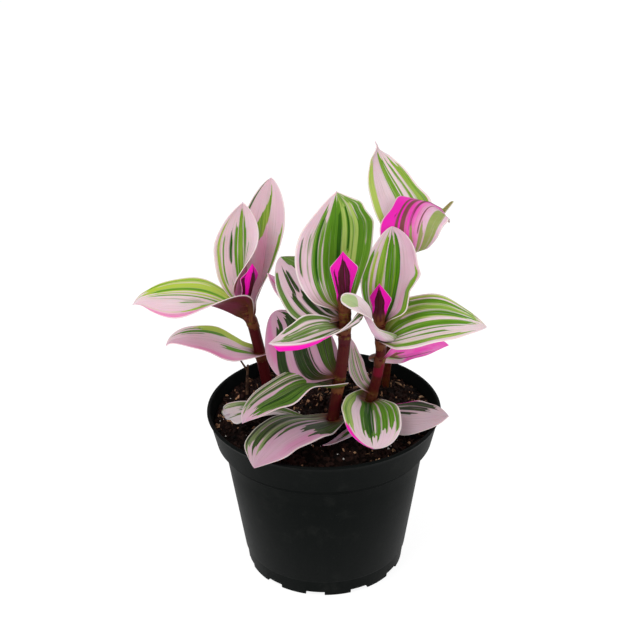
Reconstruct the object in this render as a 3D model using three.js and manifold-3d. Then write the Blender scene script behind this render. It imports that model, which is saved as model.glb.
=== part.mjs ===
// Potted tradescantia: a black nursery pot filled with soil, four stems and their striped leaves.
// Millimetres, +Z up. The origin is the centre of the pot's underside, and -Y is the front.

import * as THREE from 'three';
import { mergeVertices } from 'three/addons/utils/BufferGeometryUtils.js';
import Module from 'manifold-3d';

const wasm = await Module();
wasm.setup();

// Pot
const POT_SIDES = 40;
const POT_HEIGHT = 82.2;
const RIM_RADIUS = 55;
const RIM_LIP = 1.7;
const BAND_BOTTOM = 66.9;
const BAND_RADIUS = 51.1;
const LEDGE_DEPTH = 3.2;
const LEDGE_RADIUS = 48.7;
const BODY_TOP_RADIUS = 47.2;
const FOOT_HEIGHT = 9;
const FOOT_TOP_RADIUS = 38.7;
const FOOT_RADIUS = 37.8;
const FOOT_STEP = 0.6;
const WALL = 1.3;
const FLOOR_RISE = 2;
const FLOOR_TOP = 3.5;
const CENTRE_PAD_RADIUS = 15;
const FOOT_RING_WIDTH = 3.4;
const FOOT_STEP_HEIGHT = 1;
const SHOULDER_HEIGHT = 3;
const SHOULDER_EDGE = 0.5;
const LEDGE_DRAFT = 0.3;
const RIM_EDGE_HEIGHT = 1;
const RIM_EDGE_ROUND = 0.4;
const LEDGE_HEIGHT = BAND_BOTTOM - LEDGE_DEPTH;

// The pot's inner wall from its floor to its rim, as radius and height
const INNER_WALL = [
  [FOOT_RADIUS - 0.3, FLOOR_TOP],
  [BODY_TOP_RADIUS - WALL, LEDGE_HEIGHT - SHOULDER_HEIGHT],
  [LEDGE_RADIUS - WALL, LEDGE_HEIGHT],
  [BAND_RADIUS - WALL, BAND_BOTTOM + 1],
  [RIM_RADIUS - RIM_LIP - 0.3, POT_HEIGHT - RIM_EDGE_HEIGHT],
];

// Notches under the foot and drain holes in the floor
const NOTCH_COUNT = 11;
const NOTCH_WIDTH = 9;
const NOTCH_HEIGHT = 2;
const FIRST_NOTCH = -7.6;
const DRAIN_COUNT = 6;
const DRAIN_RADIUS = 4;
const DRAIN_CIRCLE = 25;
const DRAIN_SIDES = 16;

// Soil
const SOIL_TOP = 77;
const SOIL_EDGE_DROP = 1;
const SOIL_CROWN_RADIUS = 41;
const SOIL_CROWN_DROP = 0.3;
const SOIL_SIDES = 40;

// Clearances and thin walls
const GAP = 0.3;
const SOIL_GAP = 0.4;
const LEAF_THICKNESS = 0.7;
const SHEATH_WALL = 0.7;
const STEM_SINK = 11;
const HOLE_DEPTH = STEM_SINK + 2;

// Colours
const BLACK_PLASTIC = new THREE.MeshStandardMaterial({ color: 0x191b1a, roughness: 0.5, metalness: 0 });
const PEAT = new THREE.MeshStandardMaterial({ color: 0x1c100b, roughness: 1, metalness: 0 });
const MAROON_STEM = new THREE.MeshStandardMaterial({ color: 0x5a1c1c, roughness: 0.5, metalness: 0 });
const PINK_LEAF = new THREE.MeshStandardMaterial({ color: 0xc79ab2, roughness: 0.5, metalness: 0 });
const GREEN_LEAF = new THREE.MeshStandardMaterial({ color: 0x7c9a4f, roughness: 0.5, metalness: 0 });
const MAGENTA_LEAF = new THREE.MeshStandardMaterial({ color: 0xc02b96, roughness: 0.5, metalness: 0 });
const DRY_STALK = new THREE.MeshStandardMaterial({ color: 0x3f2a20, roughness: 0.9, metalness: 0 });

// Stems: radius and centre line, from the soil up
const STEM_A = {
  name: 'stem_a',
  radius: 2.7,
  path: [[-27.3, 26, 77], [-29.7, 24.7, 93], [-31.8, 24, 104.5],
    [-33.8, 23.3, 114.5], [-36.4, 22.7, 121], [-37.5, 22, 125]],
};
const STEM_B = {
  name: 'stem_b',
  radius: 2.7,
  path: [[3.2, -16, 77], [5.5, -15.7, 94], [6.7, -15.3, 102],
    [8.6, -15, 114], [9.6, -14.7, 126], [9.7, -14.2, 141.5]],
};
const STEM_C = {
  name: 'stem_c',
  radius: 2.4,
  path: [[20.8, -1, 77], [21.9, -1.5, 85.3], [23.4, -2, 92],
    [25.2, -2.5, 101], [26.4, -3, 112.5], [25.3, -3.8, 129.5]],
};
const STEM_D = {
  name: 'stem_d',
  radius: 1.9,
  path: [[30.1, 26, 77], [31.1, 25, 89.6], [33.4, 24, 109],
    [35.9, 23, 125.5], [38.4, 22, 141.4], [40.5, 20.7, 157]],
};
const STEMS = [STEM_A, STEM_B, STEM_C, STEM_D];
const STEM_SIDES = 10;

// Leaf outline: how blunt the base is, and how blunt the tip is
const OUTLINE = [0.56, 0.85];
const SHEATH_HEIGHT = 2.6;
const SHEATH_SIDES = 9;
const STEPS_ALONG = 9;
const STEPS_ACROSS = 6;
const SUBSTEPS = 4;
const NARROWEST_HALF = 0.5;
const CROWN_START = 0.6;
const RIDGE_LIMIT = 0.5;
const FLATTEST_CURL = 0.01;
const HOOK_START = 0.86;
const SHOULDER_BASE = 0.35;
const SHOULDER_SHARPNESS = 14;

// Leaves. up is the height of the node above the ground. heading is the way a leaf points, in
// degrees round from +X, at its base and its tip. rise is its slope at base, middle and tip. roll
// turns it about its midrib. fold and curl lift both halves out of flat. hook bends its last part.
const LEAVES = [
  { name: 'leaf_a1', stem: STEM_A, up: 97, heading: [183, 184], rise: [22, 16, -28], roll: [4, 2],
    length: 45, width: 27, fold: [-9, 6], curl: 3, hook: -30 },
  { name: 'leaf_a2', stem: STEM_A, up: 115, heading: [189, 200], rise: [45, 16, 6], roll: [-38, 47],
    length: 57, width: 37, fold: [44, -25], curl: 5, outline: [0.55, 1.08], hook: -35 },
  { name: 'leaf_a3', stem: STEM_A, up: 121, heading: [91, 89], rise: [58, 84, 108], roll: [76, 2],
    length: 53, width: 30, fold: [60, 13], curl: 11, outline: [0.68, 0.81] },
  { name: 'leaf_a4', stem: STEM_A, up: 118, heading: [65, 79], rise: [40, 66, 70], roll: [20, -4],
    length: 66, width: 31, fold: [45, 22], curl: 11, outline: [0.57, 0.72] },
  { name: 'leaf_a5', stem: STEM_A, up: 124, terminal: true, heading: [-20, -85], rise: [60, 76, 90],
    roll: [3, 6], length: 24, width: 12, fold: [50, 20], curl: 19, shoulder: 0.6, young: true },

  { name: 'leaf_b1', stem: STEM_B, up: 137, heading: [118, 81], rise: [49, 109, 120], roll: [-3, -15],
    length: 67, width: 37, fold: [-18, 3], curl: 2 },
  { name: 'leaf_b2', stem: STEM_B, up: 140.5, terminal: true, heading: [-92, -105], rise: [80, 75, 85],
    roll: [-17, -3], length: 30, width: 15.8, fold: [36, 22], curl: 18, shoulder: 0.62, young: true },
  { name: 'leaf_b3', stem: STEM_B, up: 130, heading: [233, 196], rise: [13, 1, 26], roll: [9, -3],
    length: 39, width: 24, fold: [26, 24], curl: 22 },
  { name: 'leaf_b4', stem: STEM_B, up: 133.5, heading: [138, 129], rise: [15, 31, 9], roll: [10, 2],
    length: 43, width: 35, fold: [-6, 9], curl: 2 },
  { name: 'leaf_b5', stem: STEM_B, up: 125.5, heading: [135, 149], rise: [12, 20, 54], roll: [0, 0],
    length: 47, width: 18, fold: [30, 10], curl: 5 },
  { name: 'leaf_b6', stem: STEM_B, up: 105, heading: [148, 133], rise: [16, 32, 53], roll: [14, 94],
    length: 42, width: 32, fold: [9, -1], curl: 2, outline: [0.5, 0.45] },
  { name: 'leaf_b7', stem: STEM_B, up: 101, heading: [185, 252], rise: [-5, 4, -16], roll: [-7, 0],
    length: 53, width: 25, fold: [28, -22], curl: -10, outline: [0.46, 0.94] },
  { name: 'leaf_b8', stem: STEM_B, up: 83.5, heading: [220, 238], rise: [22, 3, -41], roll: [-3, -8],
    length: 52, width: 33, fold: [1, 0], curl: -7, outline: [0.56, 0.6] },
  { name: 'leaf_b9', stem: STEM_B, up: 79.6, heading: [157, 205], rise: [12, 11, -13], roll: [-6, 9],
    length: 49, width: 16, fold: [10, -2], curl: -4, outline: [0.45, 0.35] },

  { name: 'leaf_c1', stem: STEM_C, up: 125, heading: [54, 98], rise: [55, 68, 53], roll: [0, 0],
    length: 45, width: 29, fold: [30, 20], curl: 11, outline: [0.61, 0.72] },
  { name: 'leaf_c2', stem: STEM_C, up: 117, heading: [-9, 0], rise: [39, 11, -17], roll: [-25, -7],
    length: 48, width: 35, fold: [21, 2], curl: 3 },
  { name: 'leaf_c3', stem: STEM_C, up: 108, heading: [27, 24], rise: [-3, -3, 0], roll: [68, 62],
    length: 34, width: 20, fold: [10, 9], curl: 7 },
  { name: 'leaf_c4', stem: STEM_C, up: 120, heading: [-100, -178], rise: [15, 64, 13], roll: [-3, 60],
    length: 39, width: 9.5, fold: [72, 0], curl: 14, outline: [0.3, 0.3] },
  { name: 'leaf_c5', stem: STEM_C, up: 128.5, terminal: true, heading: [-99, -100], rise: [84, 93, 88],
    roll: [7, 3], length: 18, width: 12.5, fold: [30, 20], curl: 16, shoulder: 0.55, young: true },
  { name: 'leaf_c6', stem: STEM_C, up: 85, heading: [-97, -90], rise: [18, 1, -19], roll: [5, 18],
    length: 41, width: 29, fold: [32, 5], curl: 0, outline: [0.6, 0.5] },
  { name: 'leaf_c7', stem: STEM_C, up: 79.4, heading: [-32, -20], rise: [9, 9, 20], roll: [2, -16],
    length: 38, width: 28, fold: [0, 3], curl: -8, outline: [0.57, 0.85] },

  { name: 'leaf_d1', stem: STEM_D, up: 152.5, heading: [94, 130], rise: [60, 28, 89], roll: [-2, -8],
    length: 58, width: 30, fold: [5, 8], curl: 10, hook: 30 },
  { name: 'leaf_d2', stem: STEM_D, up: 148.5, heading: [-90, -160], rise: [56, 141, 250], roll: [-13, 0],
    length: 49, width: 32, fold: [-7, 13], curl: 9, outline: [0.51, 0.37] },
  { name: 'leaf_d3', stem: STEM_D, up: 156, terminal: true, heading: [60, 60], rise: [85, 75, 70],
    roll: [0, 0], length: 13, width: 6, fold: [50, 40], curl: 20, young: true },

  { name: 'leaf_e', stem: STEM_C, up: 89, heading: [147, 128], rise: [33, 72, 96], roll: [5, -1],
    length: 28, width: 11, fold: [21, 18], curl: 8 },
  { name: 'leaf_f', stem: STEM_C, up: 82.1, heading: [-103, -154], rise: [-2, -8, 5], roll: [1, 3],
    length: 36, width: 6, fold: [8, 8], curl: 4 },
];

// Leaves whose node is higher than this show more green than pink
const GREEN_ABOVE = 107;

// Dry stalk with one twig, from the soil up
const STALK_RADIUS = 0.8;
const TWIG_RADIUS = 0.56;
const STALK_SIDES = 6;
const STALK_HOLE_RADIUS = 1.8;
const STALK_HOLE_DEPTH = 7;
const STALK_PATH = [[-37.4, 21.1, 72], [-37, 21.1, 84], [-36.4, 21.1, 92.5]];
const TWIG_PATH = [[-36.8, 21.1, 89.5], [-39.7, 21.1, 94.7]];

const radians = THREE.MathUtils.degToRad;
const vector = (point) => new THREE.Vector3(...point);

// A solid for cutting and joining, from a closed geometry
function solidOf(geometry) {
  const bare = geometry.clone();
  bare.deleteAttribute('normal');
  bare.deleteAttribute('uv');
  const merged = mergeVertices(bare, 1e-5);
  return new wasm.Manifold(new wasm.Mesh({
    numProp: 3,
    vertProperties: new Float32Array(merged.attributes.position.array),
    triVerts: new Uint32Array(merged.index.array),
  }));
}

function geometryOf(solid) {
  const mesh = solid.getMesh();
  const geometry = new THREE.BufferGeometry();
  geometry.setAttribute('position', new THREE.BufferAttribute(new Float32Array(mesh.vertProperties), 3));
  geometry.setIndex(new THREE.BufferAttribute(new Uint32Array(mesh.triVerts), 1));
  geometry.computeVertexNormals();
  return geometry;
}

// A turned body about +Z from a profile of [radius, height] points
function turned(profile, sides) {
  const points = profile.map(([radius, height]) => new THREE.Vector2(radius, height));
  return new THREE.LatheGeometry(points, sides).rotateX(Math.PI / 2);
}

function disc(radius, sides) {
  const shape = new THREE.Shape();
  for (let i = 0; i < sides; i++) {
    const angle = (i / sides) * 2 * Math.PI;
    const point = [radius * Math.cos(angle), radius * Math.sin(angle)];
    if (i === 0) shape.moveTo(...point);
    else shape.lineTo(...point);
  }
  return shape;
}

// A rod along a list of points, with flat ends
function rod(points, radius, sides) {
  const corners = points.map(vector);
  const curve = corners.length > 2 ? new THREE.CatmullRomCurve3(corners) : new THREE.LineCurve3(...corners);
  const steps = points.length;
  return new THREE.ExtrudeGeometry(disc(radius, sides), { steps, extrudePath: curve, bevelEnabled: false });
}

// The stem's centre at a height, and the way it runs there
function stemAt(stem, height) {
  const path = stem.path;
  let i = 0;
  while (i < path.length - 2 && height > path[i + 1][2]) i++;
  const low = vector(path[i]);
  const high = vector(path[i + 1]);
  const share = (height - low.z) / (high.z - low.z);
  const along = high.clone().sub(low).normalize();
  return { centre: low.lerp(high, share), along };
}

// The stem's centre line with its lower end sunk in the soil
function sunkPath(stem) {
  const { centre } = stemAt(stem, SOIL_TOP - STEM_SINK);
  return [centre.toArray(), ...stem.path];
}

// A short straight rod about the stem at a leaf's node
function collar(leaf, radius, height) {
  const { centre, along } = stemAt(leaf.stem, leaf.up);
  const geometry = new THREE.CylinderGeometry(radius, radius, height, SHEATH_SIDES);
  const upright = new THREE.Vector3(0, 1, 0);
  geometry.applyQuaternion(new THREE.Quaternion().setFromUnitVectors(upright, along));
  return geometry.translate(centre.x, centre.y, centre.z);
}

const sheathRadius = (stem) => stem.radius + GAP + SHEATH_WALL;

// Half the blade's width as a share of its widest half. A young leaf has a shoulder: it widens evenly to
// it and tapers evenly to the tip. Any other leaf is widest where its two powers balance.
function outlineAt(t, leaf) {
  if (leaf.shoulder) {
    const widening = SHOULDER_BASE + (1 - SHOULDER_BASE) * t / leaf.shoulder;
    const taper = (1 - t) / (1 - leaf.shoulder);
    const sum = Math.exp(-SHOULDER_SHARPNESS * widening) + Math.exp(-SHOULDER_SHARPNESS * taper);
    return -Math.log(sum) / SHOULDER_SHARPNESS;
  }
  const [base, tip] = leaf.outline ?? OUTLINE;
  const peak = (base / (base + tip)) ** base * (tip / (base + tip)) ** tip;
  return (t ** base * (1 - t) ** tip) / peak;
}

const mix = ([first, last], t) => first + (last - first) * t;

function slopeAt([base, middle, tip], t) {
  return base * (1 - t) * (1 - 2 * t) + middle * 4 * t * (1 - t) + tip * t * (2 * t - 1);
}

// The share of its hook by which a leaf's last part is bent
function hookAt(t) {
  const share = Math.max(0, (t - HOOK_START) / (1 - HOOK_START));
  return share * share * (3 - 2 * share);
}

// The blade's frame at a share t of its length: along, to its right side, and out of its upper face
function leafFrame(leaf, t) {
  const heading = radians(mix(leaf.heading, t));
  const slope = radians(slopeAt(leaf.rise, t) + (leaf.hook ?? 0) * hookAt(t));
  const roll = radians(mix(leaf.roll, t));
  const along = new THREE.Vector3(
    Math.cos(heading) * Math.cos(slope), Math.sin(heading) * Math.cos(slope), Math.sin(slope));
  const side = new THREE.Vector3(Math.sin(heading), -Math.cos(heading), 0);
  const upper = side.clone().cross(along);
  const rolledSide = side.clone().multiplyScalar(Math.cos(roll)).addScaledVector(upper, Math.sin(roll));
  const rolledUpper = upper.clone().multiplyScalar(Math.cos(roll)).addScaledVector(side, -Math.sin(roll));
  return { along, side: rolledSide, upper: rolledUpper };
}

// A blade of even thickness: two grids of points joined round their edge
function blade(leaf) {
  const { centre } = stemAt(leaf.stem, leaf.up);
  const start = leaf.terminal ? CROWN_START : leaf.stem.radius + GAP;
  const heading = radians(leaf.heading[0]);
  const outwards = new THREE.Vector3(Math.cos(heading), Math.sin(heading), 0);
  const point = centre.clone().addScaledVector(outwards, start);
  const curl = radians(leaf.curl || FLATTEST_CURL);
  const upperFace = [];
  const lowerFace = [];
  for (let i = 0; i <= STEPS_ALONG; i++) {
    const t = i / STEPS_ALONG;
    if (i > 0) {
      for (let k = 0; k < SUBSTEPS; k++) {
        const { along } = leafFrame(leaf, (i - 1 + (k + 0.5) / SUBSTEPS) / STEPS_ALONG);
        point.addScaledVector(along, leaf.length / STEPS_ALONG / SUBSTEPS);
      }
    }
    const { side, upper } = leafFrame(leaf, t);
    const half = Math.max(outlineAt(t, leaf) * leaf.width / 2, NARROWEST_HALF);
    const fold = radians(mix(leaf.fold, t));
    for (let j = 0; j <= STEPS_ACROSS; j++) {
      const u = (2 * j) / STEPS_ACROSS - 1;
      const bend = fold + curl * Math.abs(u);
      const across = ((Math.sin(bend) - Math.sin(fold)) / curl) * half * Math.sign(u);
      const lift = ((Math.cos(fold) - Math.cos(bend)) / curl) * half;
      const middle = point.clone().addScaledVector(side, across).addScaledVector(upper, lift);
      const face = upper.clone().multiplyScalar(Math.cos(bend));
      face.addScaledVector(side, -Math.sign(u) * Math.sin(bend));
      if (u === 0) face.copy(upper).divideScalar(Math.max(Math.cos(fold), RIDGE_LIMIT));
      upperFace.push(middle.clone().addScaledVector(face, LEAF_THICKNESS / 2));
      lowerFace.push(middle.clone().addScaledVector(face, -LEAF_THICKNESS / 2));
    }
  }
  return slab(upperFace, lowerFace, STEPS_ALONG, STEPS_ACROSS);
}

// Closes two matching grids of points into one body
function slab(upperFace, lowerFace, rows, columns) {
  const points = [...upperFace, ...lowerFace];
  const width = columns + 1;
  const below = upperFace.length;
  const triangles = [];
  const quad = (a, b, c, d) => triangles.push(a, c, b, a, d, c);
  for (let i = 0; i < rows; i++) {
    for (let j = 0; j < columns; j++) {
      const a = i * width + j;
      quad(a, a + width, a + width + 1, a + 1);
      quad(below + a, below + a + 1, below + a + width + 1, below + a + width);
    }
    const left = i * width;
    const right = left + columns;
    quad(left, below + left, below + left + width, left + width);
    quad(right, right + width, below + right + width, below + right);
  }
  const last = rows * width;
  for (let j = 0; j < columns; j++) {
    quad(j, j + 1, below + j + 1, below + j);
    quad(last + j, below + last + j, below + last + j + 1, last + j + 1);
  }
  const geometry = new THREE.BufferGeometry();
  const numbers = points.flatMap((point) => point.toArray());
  geometry.setAttribute('position', new THREE.Float32BufferAttribute(numbers, 3));
  geometry.setIndex(triangles);
  return geometry;
}

// The room that a leaf leaves round its stem
function stemRoom(stem) {
  return solidOf(rod(sunkPath(stem), stem.radius + GAP, STEM_SIDES));
}

// The room that a leaf leaves round the other leaves' sheaths on its stem
function sheathRoom(leaf) {
  const stem = leaf.stem;
  let room = stemRoom(stem);
  for (const other of LEAVES) {
    if (other.stem !== stem || other === leaf) continue;
    room = room.add(solidOf(collar(other, sheathRadius(stem) + GAP, SHEATH_HEIGHT + 2 * GAP)));
  }
  return room;
}

function largest(solid) {
  const pieces = solid.decompose();
  pieces.sort((a, b) => b.volume() - a.volume());
  return pieces[0];
}

function leafSolid(leaf) {
  const sheath = solidOf(collar(leaf, sheathRadius(leaf.stem), SHEATH_HEIGHT));
  const trimmed = largest(solidOf(blade(leaf)).subtract(sheathRoom(leaf)));
  return largest(trimmed.add(sheath).subtract(stemRoom(leaf.stem)));
}

// Radius of the pot's inner wall at a height
function innerRadiusAt(height) {
  let i = 0;
  while (i < INNER_WALL.length - 2 && height > INNER_WALL[i + 1][1]) i++;
  const [lowRadius, low] = INNER_WALL[i];
  const [highRadius, high] = INNER_WALL[i + 1];
  return lowRadius + ((highRadius - lowRadius) * (height - low)) / (high - low);
}

function potSolid() {
  const ringInside = FOOT_RADIUS - FOOT_RING_WIDTH;
  const profile = [
    [0, 0],
    [CENTRE_PAD_RADIUS, 0],
    [CENTRE_PAD_RADIUS + FLOOR_RISE, FLOOR_RISE],
    [ringInside - 1, FLOOR_RISE],
    [ringInside, 0],
    [FOOT_RADIUS, 0],
    [FOOT_TOP_RADIUS, FOOT_HEIGHT - FOOT_STEP_HEIGHT],
    [FOOT_TOP_RADIUS + FOOT_STEP, FOOT_HEIGHT],
    [BODY_TOP_RADIUS, LEDGE_HEIGHT - SHOULDER_EDGE],
    [LEDGE_RADIUS, LEDGE_HEIGHT],
    [LEDGE_RADIUS + LEDGE_DRAFT, BAND_BOTTOM],
    [BAND_RADIUS, BAND_BOTTOM],
    [RIM_RADIUS - RIM_EDGE_ROUND, POT_HEIGHT - RIM_EDGE_HEIGHT],
    [RIM_RADIUS, POT_HEIGHT - RIM_EDGE_HEIGHT + RIM_EDGE_ROUND],
    [RIM_RADIUS, POT_HEIGHT],
    [RIM_RADIUS - RIM_LIP, POT_HEIGHT],
    ...INNER_WALL.toReversed(),
    [0, FLOOR_TOP],
  ];
  let pot = solidOf(turned(profile, POT_SIDES));
  for (let i = 0; i < NOTCH_COUNT; i++) {
    const angle = FIRST_NOTCH + (i * 360) / NOTCH_COUNT;
    const notch = new THREE.BoxGeometry(NOTCH_WIDTH, 3 * FOOT_RING_WIDTH, 2 * NOTCH_HEIGHT);
    notch.translate(0, -FOOT_RADIUS, 0).rotateZ(radians(angle));
    pot = pot.subtract(solidOf(notch));
  }
  for (let i = 0; i < DRAIN_COUNT; i++) {
    const hole = new THREE.CylinderGeometry(DRAIN_RADIUS, DRAIN_RADIUS, 4 * FLOOR_TOP, DRAIN_SIDES);
    hole.rotateX(Math.PI / 2).translate(DRAIN_CIRCLE, 0, 0).rotateZ((i / DRAIN_COUNT) * 2 * Math.PI);
    pot = pot.subtract(solidOf(hole));
  }
  return pot;
}

// The soil fills the pot up to SOIL_TOP, with a plain hole for each stem and for the dry stalk
function soilSolid() {
  const heights = [
    FLOOR_TOP + GAP,
    LEDGE_HEIGHT - SHOULDER_HEIGHT,
    LEDGE_HEIGHT + GAP,
    BAND_BOTTOM + 1 + GAP,
    SOIL_TOP - SOIL_EDGE_DROP,
  ];
  const profile = [
    [0, FLOOR_TOP + GAP],
    ...heights.map((height) => [innerRadiusAt(height) - SOIL_GAP, height]),
    [SOIL_CROWN_RADIUS, SOIL_TOP - SOIL_CROWN_DROP],
    [0, SOIL_TOP],
  ];
  let soil = solidOf(turned(profile, SOIL_SIDES));
  for (const stem of STEMS) {
    const { centre, along } = stemAt(stem, SOIL_TOP);
    const deep = centre.clone().addScaledVector(along, -HOLE_DEPTH).toArray();
    const high = centre.clone().addScaledVector(along, HOLE_DEPTH).toArray();
    soil = soil.subtract(solidOf(rod([deep, high], stem.radius + SOIL_GAP, STEM_SIDES)));
  }
  const stalkHole = new THREE.CylinderGeometry(
    STALK_HOLE_RADIUS, STALK_HOLE_RADIUS, 2 * STALK_HOLE_DEPTH, STEM_SIDES);
  const [stalkX, stalkY] = STALK_PATH[0];
  stalkHole.rotateX(Math.PI / 2).translate(stalkX, stalkY, SOIL_TOP);
  return soil.subtract(solidOf(stalkHole));
}

function stalkSolid() {
  const stalk = solidOf(rod(STALK_PATH, STALK_RADIUS, STALK_SIDES));
  return stalk.add(solidOf(rod(TWIG_PATH, TWIG_RADIUS, STALK_SIDES)));
}

const plant = new THREE.Group();

function addPiece(name, solid, material) {
  const mesh = new THREE.Mesh(geometryOf(solid), material);
  mesh.name = name;
  plant.add(mesh);
}

addPiece('pot', potSolid(), BLACK_PLASTIC);
addPiece('soil', soilSolid(), PEAT);
for (const stem of STEMS) {
  addPiece(stem.name, solidOf(rod(sunkPath(stem), stem.radius, STEM_SIDES)), MAROON_STEM);
}
for (const leaf of LEAVES) {
  let material = leaf.up > GREEN_ABOVE ? GREEN_LEAF : PINK_LEAF;
  if (leaf.young) material = MAGENTA_LEAF;
  addPiece(leaf.name, leafSolid(leaf), material);
}
addPiece('dry_stalk', stalkSolid(), DRY_STALK);

export default plant;
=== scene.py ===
# Potted tradescantia: a black nursery pot, dark soil, four maroon stems and pink and green striped leaves

import math
from dataclasses import dataclass

import bmesh
import bpy
import numpy as np
from mathutils import Matrix, Vector, noise


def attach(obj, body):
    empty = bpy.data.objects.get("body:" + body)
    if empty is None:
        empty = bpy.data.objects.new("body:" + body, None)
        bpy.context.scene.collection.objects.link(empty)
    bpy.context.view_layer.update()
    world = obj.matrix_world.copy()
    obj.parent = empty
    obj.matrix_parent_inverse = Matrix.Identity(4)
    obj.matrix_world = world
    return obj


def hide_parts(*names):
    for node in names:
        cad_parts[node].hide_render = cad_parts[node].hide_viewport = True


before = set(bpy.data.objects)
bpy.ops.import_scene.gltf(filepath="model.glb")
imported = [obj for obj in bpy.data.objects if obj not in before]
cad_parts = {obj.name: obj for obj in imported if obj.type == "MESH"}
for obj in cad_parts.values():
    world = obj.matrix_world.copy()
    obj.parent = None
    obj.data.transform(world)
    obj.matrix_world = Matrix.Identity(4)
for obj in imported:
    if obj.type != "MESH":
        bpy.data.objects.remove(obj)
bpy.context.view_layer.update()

bl_info = {
    "name": "Potted tradescantia",
    "version": (1, 0, 0),
    "blender": (4, 5, 0),
    "location": "View3D > Sidebar > Plant",
    "description": "Builds a variegated tradescantia in a black nursery pot",
    "category": "Add Mesh",
}

MM = 0.001
BODY = "root"

# Pot, in millimetres
POT_HEIGHT = 82.2
RIM_RADIUS = 55
RIM_LIP = 1.7
BAND_BOTTOM = 66.9
BAND_RADIUS = 51.1
LEDGE_DEPTH = 3.2
LEDGE_RADIUS = 48.7
BODY_TOP_RADIUS = 47.2
FOOT_HEIGHT = 9
FOOT_TOP_RADIUS = 38.7
FOOT_RADIUS = 37.8
INNER_FOOT_RADIUS = FOOT_RADIUS - 0.3
FOOT_STEP = 0.6
WALL = 1.3
FLOOR_RISE = 2
FLOOR_TOP = 3.5
CENTRE_PAD_RADIUS = 15
FOOT_RING_WIDTH = 3.4
NOTCH_COUNT = 11
NOTCH_WIDTH = 9
NOTCH_HEIGHT = 2
FIRST_NOTCH = -7.6
DRAIN_COUNT = 6
DRAIN_RADIUS = 4
DRAIN_CIRCLE = 25
DRAIN_SIDES = 32
FOOT_EDGE_RADIUS = 0.45
LEDGE_HEIGHT = BAND_BOTTOM - LEDGE_DEPTH
SHOULDER_HEIGHT = 3
SHARP_ANGLE = 28

# Soil, in millimetres
SOIL_TOP = 77
SOIL_EDGE_DROP = 1
SOIL_GAP = 0.4
SOIL_LUMP_SIZE = 9
SOIL_OCTAVES = 5
STEM_SINK = 11
STEM_FOOT_RISE = 3

# Brown matter on the soil: the size of its drifts, and how it grows from the front of the pot to the back.
# The bare front is painted shade, which keeps the shaded front of the soil dark.
DRIFT_SIZE = 11
DRIFT_CONTRAST = 1.6
SHADED_FRONT_BROWN = 0.12
FRONT_SHADE_SPAN = (-12, 22)

# Stems, in millimetres, with a rounded cap at the top
GAP = 0.3
CROWN_START = 0.6
STEM_CAP = 0.4
STEM_CAP_REACH = 2.0
NARROWEST_CAP_SHARE = 0.05
RIDGE_COUNT = 9
CRIMSON_BLUR = 1

# Collars of leaves round the stems, in millimetres. One takes no more than a share of the room below it.
SHEATH_DEPTH = 4
SHEATH_ROOM_SHARE = 0.8
SHEATH_TOP = 0.3
SHEATH_RISE = 1.3
SHEATH_SINK = 0.3
SHEATH_CLEARANCE = 0.1
SHEATH_SIDES = 24
SHEATH_COLOUR_REACH = (1.0, 4.5)

# Forms along and across a leaf, as shares of its length and of its half width
HOOK_START = 0.86
SHOULDER_BASE = 0.35
SHOULDER_SHARPNESS = 14
SPINE_START = 0.965
SPINE_PINCH = 0.75
SPINE_PINCH_SPAN = (SPINE_START - 0.1, SPINE_START + 0.01)
HEM_WIDTH = 0.24
HEM_START = (0.32, 0.55)
HEM_END = (0.88, 1)
HEM_TUCK = 0.8
BOW_SPAN = (0, 0.2)
TEAR_SPAN = (0.8, 1)
LONGEST_CLASP = 0.35
CLASP_CONE = 0.4
LOBE_SPREAD = 1.8
LOBE_FULLNESS = 0.9
LOBE_SIDE_SPAN = (0.3, 0.5)

# Forms of a leaf in millimetres
NARROWEST_HALF_MM = 0.14
LOBE_END_SPAN = (6, 9)
SMALL_LOBE = (3, 4)

# Degrees. A leaf without curl gets this much, because each half of it follows an arc.
LEAST_CURL = 0.01

# Markings along and across a leaf, as shares of its length and of its half width
STRIPE_START_SPAN = (-0.02, 0.14)
STRIPE_END_SPAN = (-0.13, 0.02)
STRIPE_TAPER = 0.12
STRIPE_EDGE = 0.02
HOT_STRETCH = 0.6
HOT_CORE = 0.2
HEM_GLOW = 1.6
HEM_GLOW_SPAN = (0.1, 0.4)
HEM_BARE = 0.05
BARE = -1.0
PALE = -1.0

# Litter lies on faces whose normals rise at least this far, and noise of this scale roughens its grains
FACING_UP = 0.6
GRAIN_NOISE_SCALE = 1.1

# A hair's two widths and its length are drawn at random between these shares of their settings
SMALLEST_HAIR = (0.8, 0.8, 0.4)
LARGEST_HAIR = (1.1, 1.1, 1.2)

# The random look of a leaf follows its seed, which moves on by this step from leaf to leaf
SEED_STEP = 0.617
WAVE_SEEDS = 9
RIPPLE_SHIFT = 0.37
RIGHT_RIPPLE_SHIFT = 0.23


@dataclass
class Stem:
    """A stem's radius and centre line from the soil up, in millimetres, and its colours.

    olive says how much olive shows in its maroon, and crimson from which height to which it is crimson.
    """

    radius: float
    path: tuple
    olive: float = 0.1
    crimson: tuple = ()


STEMS = {
    "a": Stem(2.7, ((-27.3, 26, 77), (-29.7, 24.7, 93), (-31.8, 24, 104.5), (-33.8, 23.3, 114.5),
                    (-36.4, 22.7, 121), (-37.5, 22, 125)), olive=0.05),
    "b": Stem(2.7, ((3.2, -16, 77), (5.5, -15.7, 94), (6.7, -15.3, 102), (8.6, -15, 114),
                    (9.6, -14.7, 126), (9.7, -14.2, 141.5)), olive=0.2),
    "c": Stem(2.4, ((20.8, -1, 77), (21.9, -1.5, 85.3), (23.4, -2, 92), (25.2, -2.5, 101),
                    (26.4, -3, 112.5), (25.3, -3.8, 129.5)), olive=0.3, crimson=(99, 108)),
    "d": Stem(1.9, ((30.1, 26, 77), (31.1, 25, 89.6), (33.4, 24, 109), (35.9, 23, 125.5),
                    (38.4, 22, 141.4), (40.5, 20.7, 157)), olive=0.8),
}


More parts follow.
